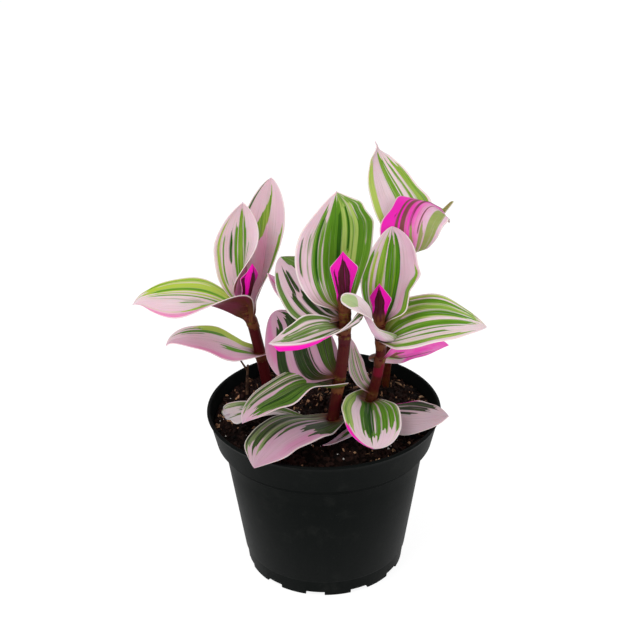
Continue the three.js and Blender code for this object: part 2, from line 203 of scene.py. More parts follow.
@dataclass
class Leaf:
    """A leaf's place, shape and markings.

    Lengths are in millimetres and angles in degrees. A place along a leaf runs from 0 at its base to 1 at
    its tip, and a place across it from -1 at its left margin to 1 at its right one.

    up: the height at which it leaves its stem
    heading: the way it points at its base and its tip, round from +X
    rise: its slope at its base, middle and tip
    roll: its turn about its midrib, at its base and its tip
    fold: how far its halves are lifted out of flat, at its base and its tip
    curl: how much more they are lifted at their margins
    outline: the powers that round its base and its tip
    shoulder: where it is widest, if its base and its tip have straight sides
    hook: how much more its last part rises
    terminal: whether it goes on from the end of its stem
    young: whether it is a folded young leaf, which shows magenta
    clasp: how far round the stem the left and the right half of its base reach
    lobes, lobe_rise: how far the two halves stand out there, and how much they rise with it
    wave: the strength of the waves in its left and its right margin
    bulges: where it swells or narrows, each as a margin, the place along it, the reach and the amount
    bow: how far it is lifted, and the place and reach of that
    spine: how far its drawn-out tip is pulled, along X, Y and Z
    hem: how far its left margin is turned down
    torn: how far its end is torn back
    stripes: green stripes, laid in order, each as its place across, half width, start, end and depth of
        green. A place or half width may be a pair, for the base and the tip. PALE lays a pale stripe.
    pink: how pink its left and its right half are
    hot: patches of strong pink, each as its place across and along, reach and strength
    silver: how silvery its greens are
    dull: how far all its colours are darkened toward brown, as painted shade on the low leaves
        that lie in the shade of others, and as a duller tone on a few more
    slant: how far the grain of its colours drifts across it on the way to its tip
    rim: how clear the pale line at its margin is
    heel, foot: how maroon its underside and how brown its upper face are near the base
    """

    name: str
    stem: str
    up: float
    heading: tuple
    rise: tuple
    roll: tuple
    length: float
    width: float
    fold: tuple
    curl: float
    outline: tuple = (0.56, 0.85)
    shoulder: float = 0.0
    hook: float = 0.0
    terminal: bool = False
    young: bool = False
    clasp: tuple = (100, 100)
    lobes: tuple = (0, 0)
    lobe_rise: float = 0.0
    wave: tuple = (0.4, 0.4)
    bulges: tuple = ()
    bow: tuple = (0, 0.5, 0.2)
    spine: tuple = (0, 0, 0)
    hem: float = 0.0
    torn: float = 0.0
    stripes: tuple = ()
    pink: tuple = (0.5, 0.5)
    hot: tuple = ()
    silver: float = 0.3
    dull: float = 0.0
    slant: float = 0.0
    rim: float = 1.0
    heel: float = 0.4
    foot: float = 1.0


LEAVES = (
    Leaf("leaf_a1", "a", up=97, heading=(183, 184), rise=(22, 16, -28), roll=(4, 2), length=45, width=27,
         fold=(-9, 6), curl=3, hook=-30, clasp=(150, 110), lobes=(4, 0),
         pink=(0.75, 0.1), hot=((-0.9, 0.45, 0.6, 0.5),), silver=0.15,
         stripes=(((0.66, 0.88), (0.34, 0.1), 0.0, 0.7, 0.0), (0.5, 0.09, 0.25, 0.94, 0.65),
                  (0.74, 0.03, 0.5, 0.97, 0.5), (0.31, 0.03, 0.45, 0.9, 0.8),
                  (-0.24, 0.1, 0.0, 0.46, 0.55), (-0.02, 0.03, 0.05, 0.5, 0.6))),
    Leaf("leaf_a2", "a", up=115, heading=(189, 200), rise=(45, 16, 6), roll=(-38, 47), length=57,
         width=37, fold=(44, -25), curl=5, outline=(0.55, 1.08), hook=-35,
         pink=(0.4, 0.1), hot=((-0.95, 0.7, 0.55, 0.6),), silver=0.1, heel=1.0,
         stripes=((0.66, 0.38, 0.0, 0.95, 0.0), (0.9, 0.03, 0.0, 0.9, 0.35), (0.5, 0.02, 0.0, 0.9, 0.45),
                  (0.2, 0.03, 0.05, 0.9, 0.4), (0.02, 0.035, 0.3, 0.85, 0.7),
                  (-0.1, 0.03, 0.25, 0.6, 0.6), (-0.2, 0.03, 0.3, 0.75, 0.6),
                  (-0.7, 0.13, 0.05, 0.62, 0.2), (-0.58, 0.025, 0.08, 0.6, 0.9),
                  (0.78, 0.012, 0.2, 0.9, PALE), (0.38, 0.018, 0.1, 0.97, PALE))),
    Leaf("leaf_a3", "a", up=121, heading=(91, 89), rise=(58, 84, 108), roll=(76, 2), length=53, width=30,
         fold=(60, 13), curl=11, outline=(0.68, 0.81),
         pink=(0.35, 0.35), silver=0.25, heel=0.1,
         stripes=((-0.84, 0.05, 0.0, 0.92, 0.2), (-0.7, 0.02, 0.1, 0.8, 0.4),
                  (-0.46, 0.04, 0.3, 0.75, 1.0), (-0.5, 0.02, 0.0, 0.3, 0.6),
                  (-0.28, 0.05, 0.15, 0.92, 0.5), (-0.11, 0.13, 0.0, 0.97, 0.4),
                  (0.05, 0.08, 0.0, 0.95, 0.5), (0.15, 0.03, 0.1, 0.85, 0.6),
                  (0.36, 0.03, 0.1, 0.75, 0.5), (0.9, 0.05, 0.05, 0.6, 0.5),
                  (-0.04, 0.012, 0.1, 0.9, PALE))),
    Leaf("leaf_a4", "a", up=118, heading=(65, 79), rise=(40, 66, 70), roll=(20, -4), length=66, width=31,
         fold=(45, 22), curl=11, outline=(0.57, 0.72),
         pink=(0.3, 0.35), hot=((-0.15, 0.38, 0.6, 0.4),), silver=0.3, foot=0.0,
         stripes=(((-1.3, 0.3), (0.45, 0.06), 0.45, 1.0, 0.3), (-0.9, 0.06, 0.5, 1.05, 0.9),
                  (0.84, 0.15, 0.0, 0.68, 0.4), (0.74, 0.02, 0.1, 0.6, 0.6),
                  (-0.72, 0.03, 0.0, 0.5, 0.8))),
    Leaf("leaf_a5", "a", up=124, heading=(-20, -85), rise=(60, 76, 90), roll=(3, 6), length=24, width=12,
         fold=(50, 20), curl=19, shoulder=0.6, terminal=True, young=True,
         stripes=((-0.1, (0.5, 0.12), 0.0, 0.97, 1.0), (0.75, 0.16, 0.0, 0.75, 0.9))),
    Leaf("leaf_b1", "b", up=137, heading=(118, 81), rise=(49, 109, 120), roll=(-3, -15), length=67,
         width=37, fold=(-18, 3), curl=2, wave=(0.3, 1.3),
         bulges=((1, 0.87, 0.06, 0.2), (1, 0.6, 0.2, 0.04)),
         pink=(0.4, 0.2), silver=0.42,
         stripes=((0.35, 0.67, 0.0, 1.06, 0.35), (-0.53, 0.08, 0.0, 0.93, 0.5),
                  (-0.46, 0.03, 0.1, 0.85, 0.9), (-0.08, 0.18, 0.0, 0.98, 0.6),
                  (0.07, 0.05, 0.0, 0.85, 0.95), (0.28, 0.13, 0.2, 0.96, 0.15),
                  (0.33, 0.015, 0.3, 0.96, 0.9), (0.52, 0.06, 0.0, 0.97, 0.1),
                  (0.67, 0.07, 0.0, 0.96, 0.6), (0.92, 0.1, 0.0, 0.95, 0.55),
                  (-0.39, 0.03, 0.0, 0.9, 0.4), (-0.34, 0.016, 0.03, 0.97, PALE),
                  (0.45, 0.01, 0.6, 0.99, PALE), (0.6, 0.01, 0.55, 0.99, PALE),
                  (0.78, 0.012, 0.3, 0.99, PALE), (-0.87, 0.015, 0.15, 0.6, 0.9),
                  (-0.7, 0.02, 0.1, 0.75, 0.7))),
    Leaf("leaf_b2", "b", up=140.5, heading=(-92, -105), rise=(80, 75, 85), roll=(-17, -3), length=30,
         width=15.8, fold=(36, 22), curl=18, shoulder=0.62, terminal=True, young=True, wave=(0, 0),
         stripes=((0.0, (0.75, 0.1), 0.0, 0.97, 1.0), (0.62, 0.1, 0.0, 0.7, 0.9))),
    Leaf("leaf_b3", "b", up=130, heading=(233, 196), rise=(13, 1, 26), roll=(9, -3), length=39, width=24,
         fold=(26, 24), curl=22, clasp=(165, 100), lobes=(9, 0), lobe_rise=0.9, hem=4.3,
         pink=(0.2, 0.2), silver=0.9,
         stripes=((-0.85, 0.22, 0.0, 0.25, 0.6), (0.42, 0.22, 0.0, 0.92, 0.4), (0.86, 0.1, 0.0, 0.9, 0.5),
                  (0.02, 0.08, 0.0, 0.95, 0.6), (-0.28, 0.06, 0.0, 0.85, 0.7),
                  (-0.62, 0.07, 0.0, 0.85, 0.75), (0.56, 0.02, 0.1, 0.85, PALE),
                  (0.34, 0.015, 0.2, 0.8, PALE), (-0.28, 0.012, 0.3, 0.9, PALE))),
    Leaf("leaf_b4", "b", up=133.5, heading=(138, 129), rise=(15, 31, 9), roll=(10, 2), length=43,
         width=35, fold=(-6, 9), curl=2,
         pink=(0.35, 0.4), silver=0.85, dull=0.3,
         stripes=((-0.9, 0.1, 0.0, 0.85, 0.5), (-0.6, 0.07, 0.05, 0.55, 0.85),
                  (-0.5, 0.06, 0.4, 0.92, 0.8), (-0.3, 0.09, 0.0, 0.52, 0.95),
                  (-0.36, 0.06, 0.4, 0.86, 0.9), (-0.05, 0.1, 0.0, 0.68, 0.9), (0.2, 0.07, 0.0, 0.5, 0.8),
                  (0.12, 0.06, 0.42, 0.92, 0.8), (0.74, 0.28, 0.2, 1.04, 0.55),
                  ((0.9, 0.3), (0.2, 0.5), 0.72, 1.1, 0.5))),
    Leaf("leaf_b5", "b", up=125.5, heading=(135, 149), rise=(12, 20, 54), roll=(0, 0), length=47,
         width=18, fold=(30, 10), curl=5,
         pink=(0.9, 0.9), hot=((0.0, 0.85, 0.5, 0.9),),
         stripes=((-0.3, 0.15, 0.1, 0.9, 0.9), (0.4, 0.1, 0.0, 0.8, 0.9))),
    Leaf("leaf_b6", "b", up=105, heading=(148, 133), rise=(16, 32, 53), roll=(14, 94), length=42,
         width=32, fold=(9, -1), curl=2, outline=(0.5, 0.45),
         pink=(1.05, 0.85), hot=((-0.7, 0.75, 0.55, 0.5),), silver=0.8, dull=0.9, slant=1.5, rim=0.25,
         stripes=(((-1.47, 0.13), 0.17, 0.0, 0.95, 1.0), ((-0.68, 0.82), 0.31, 0.0, 1.0, 1.0),
                  ((0.3, 1.4), 0.3, 0.0, 0.95, 0.75), ((-0.45, 1.05), 0.03, 0.0, 0.7, PALE))),
    Leaf("leaf_b7", "b", up=101, heading=(185, 252), rise=(-5, 4, -16), roll=(-7, 0), length=53, width=25,
         fold=(28, -22), curl=-10, outline=(0.46, 0.94), clasp=(150, 110), lobes=(5, 0), lobe_rise=0.7,
         wave=(0.8, 0.4), bow=(3.2, 0.26, 0.2),
         pink=(0.7, 0.4), silver=0.7, dull=0.45,
         stripes=(((-0.3, -0.55), (0.64, 0.38), 0.0, 0.9, 0.65), (-0.4, 0.05, 0.1, 0.8, 0.9),
                  (-0.7, 0.05, 0.0, 0.8, 0.8), (0.6, 0.36, 0.0, 0.9, 0.38), (0.36, 0.05, 0.0, 0.86, 0.9),
                  (0.8, 0.07, 0.0, 0.84, 0.9), (0.58, 0.02, 0.1, 0.9, PALE),
                  (0.46, 0.015, 0.05, 0.92, PALE), (0.88, 0.015, 0.2, 0.9, PALE))),
    Leaf("leaf_b8", "b", up=83.5, heading=(220, 238), rise=(22, 3, -41), roll=(-3, -8), length=52,
         width=33, fold=(1, 0), curl=-7, outline=(0.56, 0.8), clasp=(150, 110), lobes=(5, 0),
         bulges=((1, 0.85, 0.12, 0.3), (-1, 0.85, 0.12, 0.3)),
         pink=(0.8, 0.4), hot=((-0.75, 0.55, 0.6, 0.4),), silver=0.85, dull=0.85,
         stripes=((0.84, 0.16, 0.0, 0.92, 0.35), (0.54, 0.13, 0.0, 0.9, 0.8), (0.26, 0.13, 0.0, 0.9, 0.3),
                  (0.16, 0.04, 0.0, 0.85, 0.95), (0.0, 0.08, 0.0, 0.72, 0.9),
                  (-0.3, 0.15, 0.0, 0.5, 0.95), (-0.7, 0.26, 0.0, 0.46, 0.9), (0.9, 0.03, 0.0, 0.85, 0.9),
                  (0.68, 0.015, 0.1, 0.8, PALE))),
    Leaf("leaf_b9", "b", up=79.6, heading=(157, 205), rise=(12, 11, -13), roll=(-6, 9), length=49,
         width=16, fold=(10, -2), curl=-4, outline=(1.5, 0.15), torn=3.0,
         pink=(0.0, 0.0), silver=0.9, dull=0.8,
         stripes=((0.7, 0.2, 0.3, 1.05, 0.2), (-0.3, 0.1, 0.3, 1.05, 0.5), (0.5, 0.3, 0.0, 0.9, 0.5),
                  (-0.4, 0.2, 0.0, 0.5, 0.7), (0.1, 0.06, 0.1, 0.95, 0.6))),
    Leaf("leaf_c1", "c", up=125, heading=(54, 98), rise=(55, 68, 53), roll=(0, 0), length=45, width=29,
         fold=(30, 20), curl=11, outline=(0.61, 0.72), wave=(0.3, 1.4),
         bulges=((1, 0.54, 0.06, 0.13), (1, 0.38, 0.05, -0.07), (1, 0.15, 0.1, 0.35)),
         pink=(0.25, 0.6), hot=((0.6, 0.25, 0.3, 0.3),), silver=0.2, dull=0.2,
         stripes=((-0.88, 0.1, 0.0, 0.8, 0.5), (-0.66, 0.05, 0.0, 0.9, 0.1),
                  (-0.38, 0.15, 0.0, 0.99, 0.3), (-0.05, 0.17, 0.0, 0.98, 0.65),
                  (0.21, 0.11, 0.0, 0.98, 0.75), (0.1, 0.02, 0.0, 0.98, 0.25),
                  (0.86, 0.11, 0.0, 0.62, 0.4), (-0.26, 0.02, 0.0, 0.97, PALE),
                  (0.1, 0.012, 0.4, 0.97, PALE))),
    Leaf("leaf_c2", "c", up=117, heading=(-9, 0), rise=(39, 11, -17), roll=(-25, -7), length=48, width=35,
         fold=(21, 2), curl=3, clasp=(100, 130), wave=(0.7, 0.4),
         pink=(0.1, 0.2), silver=0.35,
         stripes=((-0.6, 0.42, 0.0, 0.97, 0.25), (-0.8, 0.06, 0.0, 0.9, 0.45),
                  (-0.36, 0.07, 0.0, 0.94, 0.55), (-0.02, 0.13, 0.0, 0.96, 0.5),
                  (0.2, 0.04, 0.0, 0.82, 0.5), (0.42, 0.05, 0.0, 0.72, 0.45), (0.76, 0.1, 0.0, 0.88, 0.3),
                  (-0.68, 0.02, 0.1, 0.95, PALE), (-0.46, 0.03, 0.1, 0.95, PALE),
                  (-0.2, 0.035, 0.1, 0.95, PALE), (-0.86, 0.015, 0.2, 0.9, PALE))),
    Leaf("leaf_c3", "c", up=108, heading=(27, 24), rise=(-3, -3, 0), roll=(68, 62), length=34, width=20,
         fold=(10, 9), curl=7, clasp=(175, 100), lobes=(5, 0),
         pink=(0.5, 0.5), silver=0.8, heel=0.0,
         stripes=((-0.3, 0.55, 0.0, 0.3, 0.15), (0.1, 0.1, 0.0, 0.3, 0.6), (-0.4, 0.05, 0.0, 0.9, 0.7))),
    Leaf("leaf_c4", "c", up=120, heading=(-100, -178), rise=(15, 64, 13), roll=(-3, 60), length=39,
         width=9.5, fold=(72, 0), curl=14, outline=(0.3, 0.3), clasp=(118, 100), lobes=(9, 0),
         lobe_rise=-0.7, bulges=((1, 0.38, 0.2, -0.35), (-1, 0.38, 0.2, -0.35)),
         pink=(0.1, 0.15), silver=0.9, heel=0.0,
         stripes=((0.0, 0.8, 0.74, 1.1, 0.0), (-0.86, 0.16, 0.0, 0.34, 0.1))),
    Leaf("leaf_c5", "c", up=128.5, heading=(-99, -100), rise=(84, 93, 88), roll=(7, 3), length=18,
         width=12.5, fold=(30, 20), curl=16, shoulder=0.55, terminal=True, young=True, wave=(0, 0),
         stripes=((0.0, (0.7, 0.12), 0.0, 0.97, 1.0),)),
    Leaf("leaf_c6", "c", up=85, heading=(-96, -84), rise=(18, 1, -19), roll=(5, 18), length=41, width=29,
         fold=(32, 5), curl=0, outline=(0.6, 0.5), clasp=(70, 165), lobes=(0.5, 6), wave=(0.6, 0.9),
         pink=(0.35, 0.3), hot=((0.95, 0.9, 0.25, 1.9),), silver=0.5, dull=0.15,
         stripes=((0.84, 0.2, 0.0, 0.85, 0.3), (0.0, 0.36, 0.0, 0.92, 0.65), (0.06, 0.15, 0.0, 0.88, 1.0),
                  (-0.47, 0.13, 0.0, 0.82, 0.6), (-0.7, 0.09, 0.0, 0.78, 0.6),
                  (-0.88, 0.06, 0.0, 0.8, 0.5), (-0.35, 0.015, 0.0, 0.95, PALE),
                  (-0.16, 0.01, 0.2, 0.9, PALE))),
    Leaf("leaf_c7", "c", up=79.4, heading=(-32, -20), rise=(9, 9, 20), roll=(2, -16), length=38, width=28,
         fold=(0, 3), curl=-8, outline=(0.57, 0.85),
         pink=(0.3, 0.3), hot=((-1.0, 0.2, 0.4, 1.7),), silver=0.9, dull=0.9,
         stripes=((-0.78, 0.14, 0.0, 0.88, 0.9), (-0.46, 0.12, 0.0, 0.8, 0.95),
                  (-0.16, 0.07, 0.0, 0.66, 0.95), (0.2, 0.1, 0.0, 0.5, 0.95),
                  (0.62, 0.12, 0.0, 0.45, 0.95))),
    Leaf("leaf_d1", "d", up=152.5, heading=(94, 130), rise=(60, 28, 89), roll=(-2, -8), length=58,
         width=30, fold=(5, 8), curl=10, hook=30, wave=(0.4, 1.3), spine=(-1.4, 0, 0.8),
         pink=(0.35, 0.1), silver=0.3,
         stripes=((-0.86, 0.16, 0.0, 0.96, 0.0), (0.12, 0.17, 0.0, 0.99, 0.35),
                  (0.5, 0.05, 0.0, 0.96, 0.4), (0.78, 0.14, 0.0, 0.9, 0.25), (0.62, 0.02, 0.1, 0.8, 0.4),
                  (0.2, 0.012, 0.2, 0.98, PALE))),
    Leaf("leaf_d2", "d", up=148.5, heading=(-90, -160), rise=(56, 141, 250), roll=(-13, 0), length=49,
         width=32, fold=(-7, 13), curl=9, outline=(0.51, 0.37), wave=(0.9, 0.9),
         bulges=((1, 0.5, 0.14, -0.24),), bow=(-2.8, 0.84, 0.14), spine=(3.5, 0, 5.5),
         pink=(-0.2, 1.25), silver=0.2, dull=0.3, heel=0.0,
         stripes=((0.43, 0.055, 0.0, 1.0, 0.6), (0.24, 0.075, 0.0, 1.0, 0.6),
                  (-0.02, 0.03, 0.2, 1.0, 0.8), (-0.3, 0.03, 0.2, 1.0, 0.7), (-0.7, 0.17, 0.0, 1.0, 0.1),
                  (-0.12, 0.1, 0.0, 0.4, 0.1), (-0.42, 0.08, 0.0, 0.45, 0.1),
                  (0.56, 0.025, 0.3, 0.55, 0.95), (0.0, 1.3, 0.87, 1.3, 0.2))),
    Leaf("leaf_d3", "d", up=156, heading=(60, 60), rise=(85, 75, 70), roll=(0, 0), length=13, width=6,
         fold=(50, 40), curl=20, terminal=True, young=True, wave=(0, 0),
         stripes=((0.0, 0.2, 0.0, 0.8, 0.9),)),
    Leaf("leaf_e", "c", up=89, heading=(147, 128), rise=(33, 72, 96), roll=(5, -1), length=28, width=11,
         fold=(21, 18), curl=8,
         pink=(0.5, 0.4), silver=1.0,
         stripes=((-0.62, 0.13, 0.0, 0.93, 0.12), (0.05, 0.14, 0.0, 0.96, 0.15),
                  (0.62, 0.13, 0.0, 0.9, 0.2), (-0.3, 0.04, 0.0, 0.8, 0.7), (0.36, 0.04, 0.1, 0.9, 0.7))),
    Leaf("leaf_f", "c", up=82.1, heading=(-103, -154), rise=(-2, -8, 5), roll=(1, 3), length=36, width=6,
         fold=(8, 8), curl=4,
         pink=(0.7, 0.7),
         stripes=((0.2, 0.3, 0.0, 0.8, 1.0),)),
)

# Dry stalk and its twig, in millimetres. Each tapers, and is lumpy by a share of its radius.
STALK_RINGS = 30
STALK_SIDES = 14
STALK_TAPER = (1.05, 0.7)
STALK_LUMPS = 0.25
STALK_LUMP_SIZE = 1.3
STALK_RIDGES = 0.04
STALK_RADIUS = 0.8
STALK_PATH = ((-37.4, 21.1, 72), (-37, 21.1, 84), (-36.4, 21.1, 92.5))
TWIG_RADIUS = 0.56
TWIG_PATH = ((-36.8, 21.1, 89.5), (-39.7, 21.1, 94.7))

# The photograph is square, and its camera looks down at the plant from the front
PHOTO_PIXELS = 644
FOCAL_PIXELS = 1315
CAMERA_DISTANCE = 600
CAMERA_TILT = 26.44
CAMERA_ROLL = -0.57
CAMERA_TARGET = (-0.5, 0, 125.7)
NEAREST_SEEN = 10
SENSOR_WIDTH = 36

# Where each light stands and how wide it is, in metres, and the point that all of them face
KEY_LIGHT = ((-0.5, -0.55, 0.95), 0.6)
FILL_LIGHT = ((0.3, -0.95, 0.5), 0.8)
BACK_LIGHT = ((0.4, 0.8, 0.8), 0.8)
LIGHT_TARGET = (0, 0, 0.1)


def linear(red, green, blue):
    """A colour as it shows on screen, from 0 to 255, as the linear colour that a shader takes."""
    def channel(value):
        share = value / 255
        if share <= 0.04045:
            return share / 12.92
        return ((share + 0.055) / 1.055) ** 2.4
    return channel(red), channel(green), channel(blue), 1.0


# Fixed colours of the leaves: silvery greens, hot pinks, undersides, young leaves, base, margin and collar,
# and the brown of their painted shade and duller tone
SILVER_LIGHT = linear(170, 186, 142)
SILVER_MID = linear(88, 118, 48)
SILVER_DARK = linear(14, 26, 4)
HOT_PINK = linear(222, 90, 168)
GLOWING_PINK = linear(238, 16, 176)
LINE_GREY = linear(140, 128, 96)
UNDER_WHITE = linear(222, 190, 206)
UNDER_OLIVE = linear(138, 158, 64)
UNDER_BROWN = linear(106, 70, 34)
UNDER_PLUM = linear(98, 26, 62)
YOUNG_PINK = linear(228, 12, 170)
YOUNG_PLUM = linear(66, 8, 26)
FOOT_BROWN = linear(84, 58, 20)
HEEL_MAROON = linear(92, 18, 34)
HEEL_BROWN = linear(80, 50, 16)
MARGIN_WHITE = linear(236, 222, 218)
DULL_SHADE_BROWN = linear(44, 34, 30)
SHEATH_MAROON = linear(74, 18, 26)
SHEATH_BROWN = linear(112, 66, 36)

# Fixed colours of the other pieces. A pair is the darkest and the lightest colour.
STEM_OLIVE = linear(84, 50, 14)
STEM_CRIMSON = linear(118, 14, 42)
NODE_OLIVE = linear(120, 104, 36)
POT_DUST = linear(88, 88, 84)
HAIR_COLOURS = (linear(200, 180, 180), linear(240, 232, 230))
STALK_COLOURS = (linear(44, 28, 22), linear(112, 84, 62))
FLOOR_COLOURS = ((0.2, 0.2, 0.2, 1), (0.22, 0.22, 0.22, 1))


@dataclass
class Litter:
    """Loose grains of one kind on the soil, with their sizes in millimetres.

    density: the soil setting that says how many there are
    smallest, largest: the range of their sizes along X, Y and Z
    roughness: how rough each grain is
    evenness: the share that lies everywhere, and not only where there is brown matter
    fineness: how often the faces of a grain are divided
    """

    name: str
    density: str
    smallest: tuple
    largest: tuple
    roughness: float
    evenness: float
    fineness: int
    material: str
    dark: tuple
    light: tuple


LITTER = (
    Litter("soil_crumbs", "crumb_density", smallest=(0.4, 0.4, 0.3), largest=(2.4, 1.9, 1.5),
           roughness=1.1, evenness=0.6, fineness=1,
           material="crumb", dark=linear(5, 3, 2), light=linear(46, 25, 18)),
    Litter("soil_flakes", "fibre_density", smallest=(0.5, 0.3, 0.2), largest=(2.2, 1.3, 0.8),
           roughness=0.9, evenness=0.05, fineness=1,
           material="flake", dark=linear(48, 26, 16), light=linear(212, 164, 124)),
    Litter("bark_chips", "chip_density", smallest=(1.2, 0.8, 0.3), largest=(3.0, 1.8, 0.8),
           roughness=0.8, evenness=0.0, fineness=2,
           material="chip", dark=linear(112, 78, 52), light=linear(222, 192, 154)),
    Litter("perlite_grains", "perlite_density", smallest=(0.3, 0.3, 0.3), largest=(0.8, 0.7, 0.6),
           roughness=1.2, evenness=0.3, fineness=2,
           material="perlite", dark=linear(186, 180, 172), light=linear(240, 238, 232)),
)


class Wire:
    """A socket that carries a number, so that shader formulas are written as formulas."""

    def __init__(self, nodes, socket):
        self.nodes = nodes
        self.socket = socket

    def math(self, operation, first, second=0.0):
        """What a Math node makes of two numbers or wires."""
        return self.nodes.add("ShaderNodeMath", {"operation": operation}, first, second)

    def __add__(self, other):
        return self.math("ADD", self, other)

    def __radd__(self, other):
        return self.math("ADD", other, self)

    def __sub__(self, other):
        return self.math("SUBTRACT", self, other)

    def __rsub__(self, other):
        return self.math("SUBTRACT", other, self)

    def __mul__(self, other):
        return self.math("MULTIPLY", self, other)

    def __rmul__(self, other):
        return self.math("MULTIPLY", other, self)

    def __abs__(self):
        return self.math("ABSOLUTE", self)

    def step(self, low, high):
        """0 below low, 1 above high, and a smooth rise between them. low above high gives a fall."""
        settings = {"interpolation_type": "SMOOTHSTEP"}
        return self.nodes.add("ShaderNodeMapRange", settings, self, low, high, 0.0, 1.0)


class Nodes:
    """A node tree and the few ways in which this plant's trees are wired."""

    def __init__(self, tree):
        self.tree = tree

    def connect(self, target, value):
        """Links a socket to a wire, or gives it a fixed value."""
        if isinstance(value, Wire):
            self.tree.links.new(value.socket, target)
        else:
            target.default_value = value

    def add(self, kind, settings=None, *values, output=0, **named):
        """Adds a node, sets it up, fills its sockets by place or name, and returns one of its outputs."""
        node = self.tree.nodes.new(kind)
        for name, setting in (settings or {}).items():
            setattr(node, name, setting)
        for place, value in enumerate(values):
            self.connect(node.inputs[place], value)
        for name, value in named.items():
            self.connect(node.inputs[name.replace("_", " ")], value)
        return Wire(self, node.outputs[output])

    def attribute(self, name):
        """One of the piece's number fields."""
        return self.add("ShaderNodeAttribute", {"attribute_name": name}, output="Fac")

    def place(self):
        """Where a point of the piece lies, in metres."""
        return self.add("ShaderNodeTexCoord", output="Object")

    def point(self, x, y, z):
        """A place from three numbers."""
        return self.add("ShaderNodeCombineXYZ", None, x, y, z)

    def grain(self, where, scale, detail=3.0, roughness=0.55):
        """Noise from 0 to 1, finer the higher its scale."""
        return self.add("ShaderNodeTexNoise", None, Vector=where, Scale=scale, Detail=detail,
                        Roughness=roughness)

    def scaled(self, where, x, y, z):
        """A place stretched along each axis, so that its noise is squeezed there."""
        return self.add("ShaderNodeMapping", None, Vector=where, Scale=(x, y, z))

    def blend(self, share, first, second):
        """A colour between two colours. A Mix node takes its colours at its inputs 6 and 7."""
        node = self.tree.nodes.new("ShaderNodeMix")
        node.data_type = "RGBA"
        self.connect(node.inputs[0], share)
        self.connect(node.inputs[6], first)
        self.connect(node.inputs[7], second)
        return Wire(self, node.outputs[2])

    def bump(self, height, strength, distance):
        """The normals of a fine relief that has this height pattern."""
        return self.add("ShaderNodeBump", None, Height=height, Strength=strength, Distance=distance)


def new_material(name):
    """A material with a bare Principled surface, and its node tree."""
    material = bpy.data.materials.new(name)
    material.use_nodes = True
    nodes = Nodes(material.node_tree)
    surface = material.node_tree.nodes["Principled BSDF"]
    return material, nodes, surface


def finish_surface(nodes, surface, skin, roughness, relief=None, **constants):
    """Links what changes over a surface, and sets its other sockets by their names."""
    nodes.connect(surface.inputs["Base Color"], skin)
    nodes.connect(surface.inputs["Roughness"], roughness)
    if relief:
        nodes.connect(surface.inputs["Normal"], relief)
    for name, value in constants.items():
        surface.inputs[name.replace("_", " ")].default_value = value


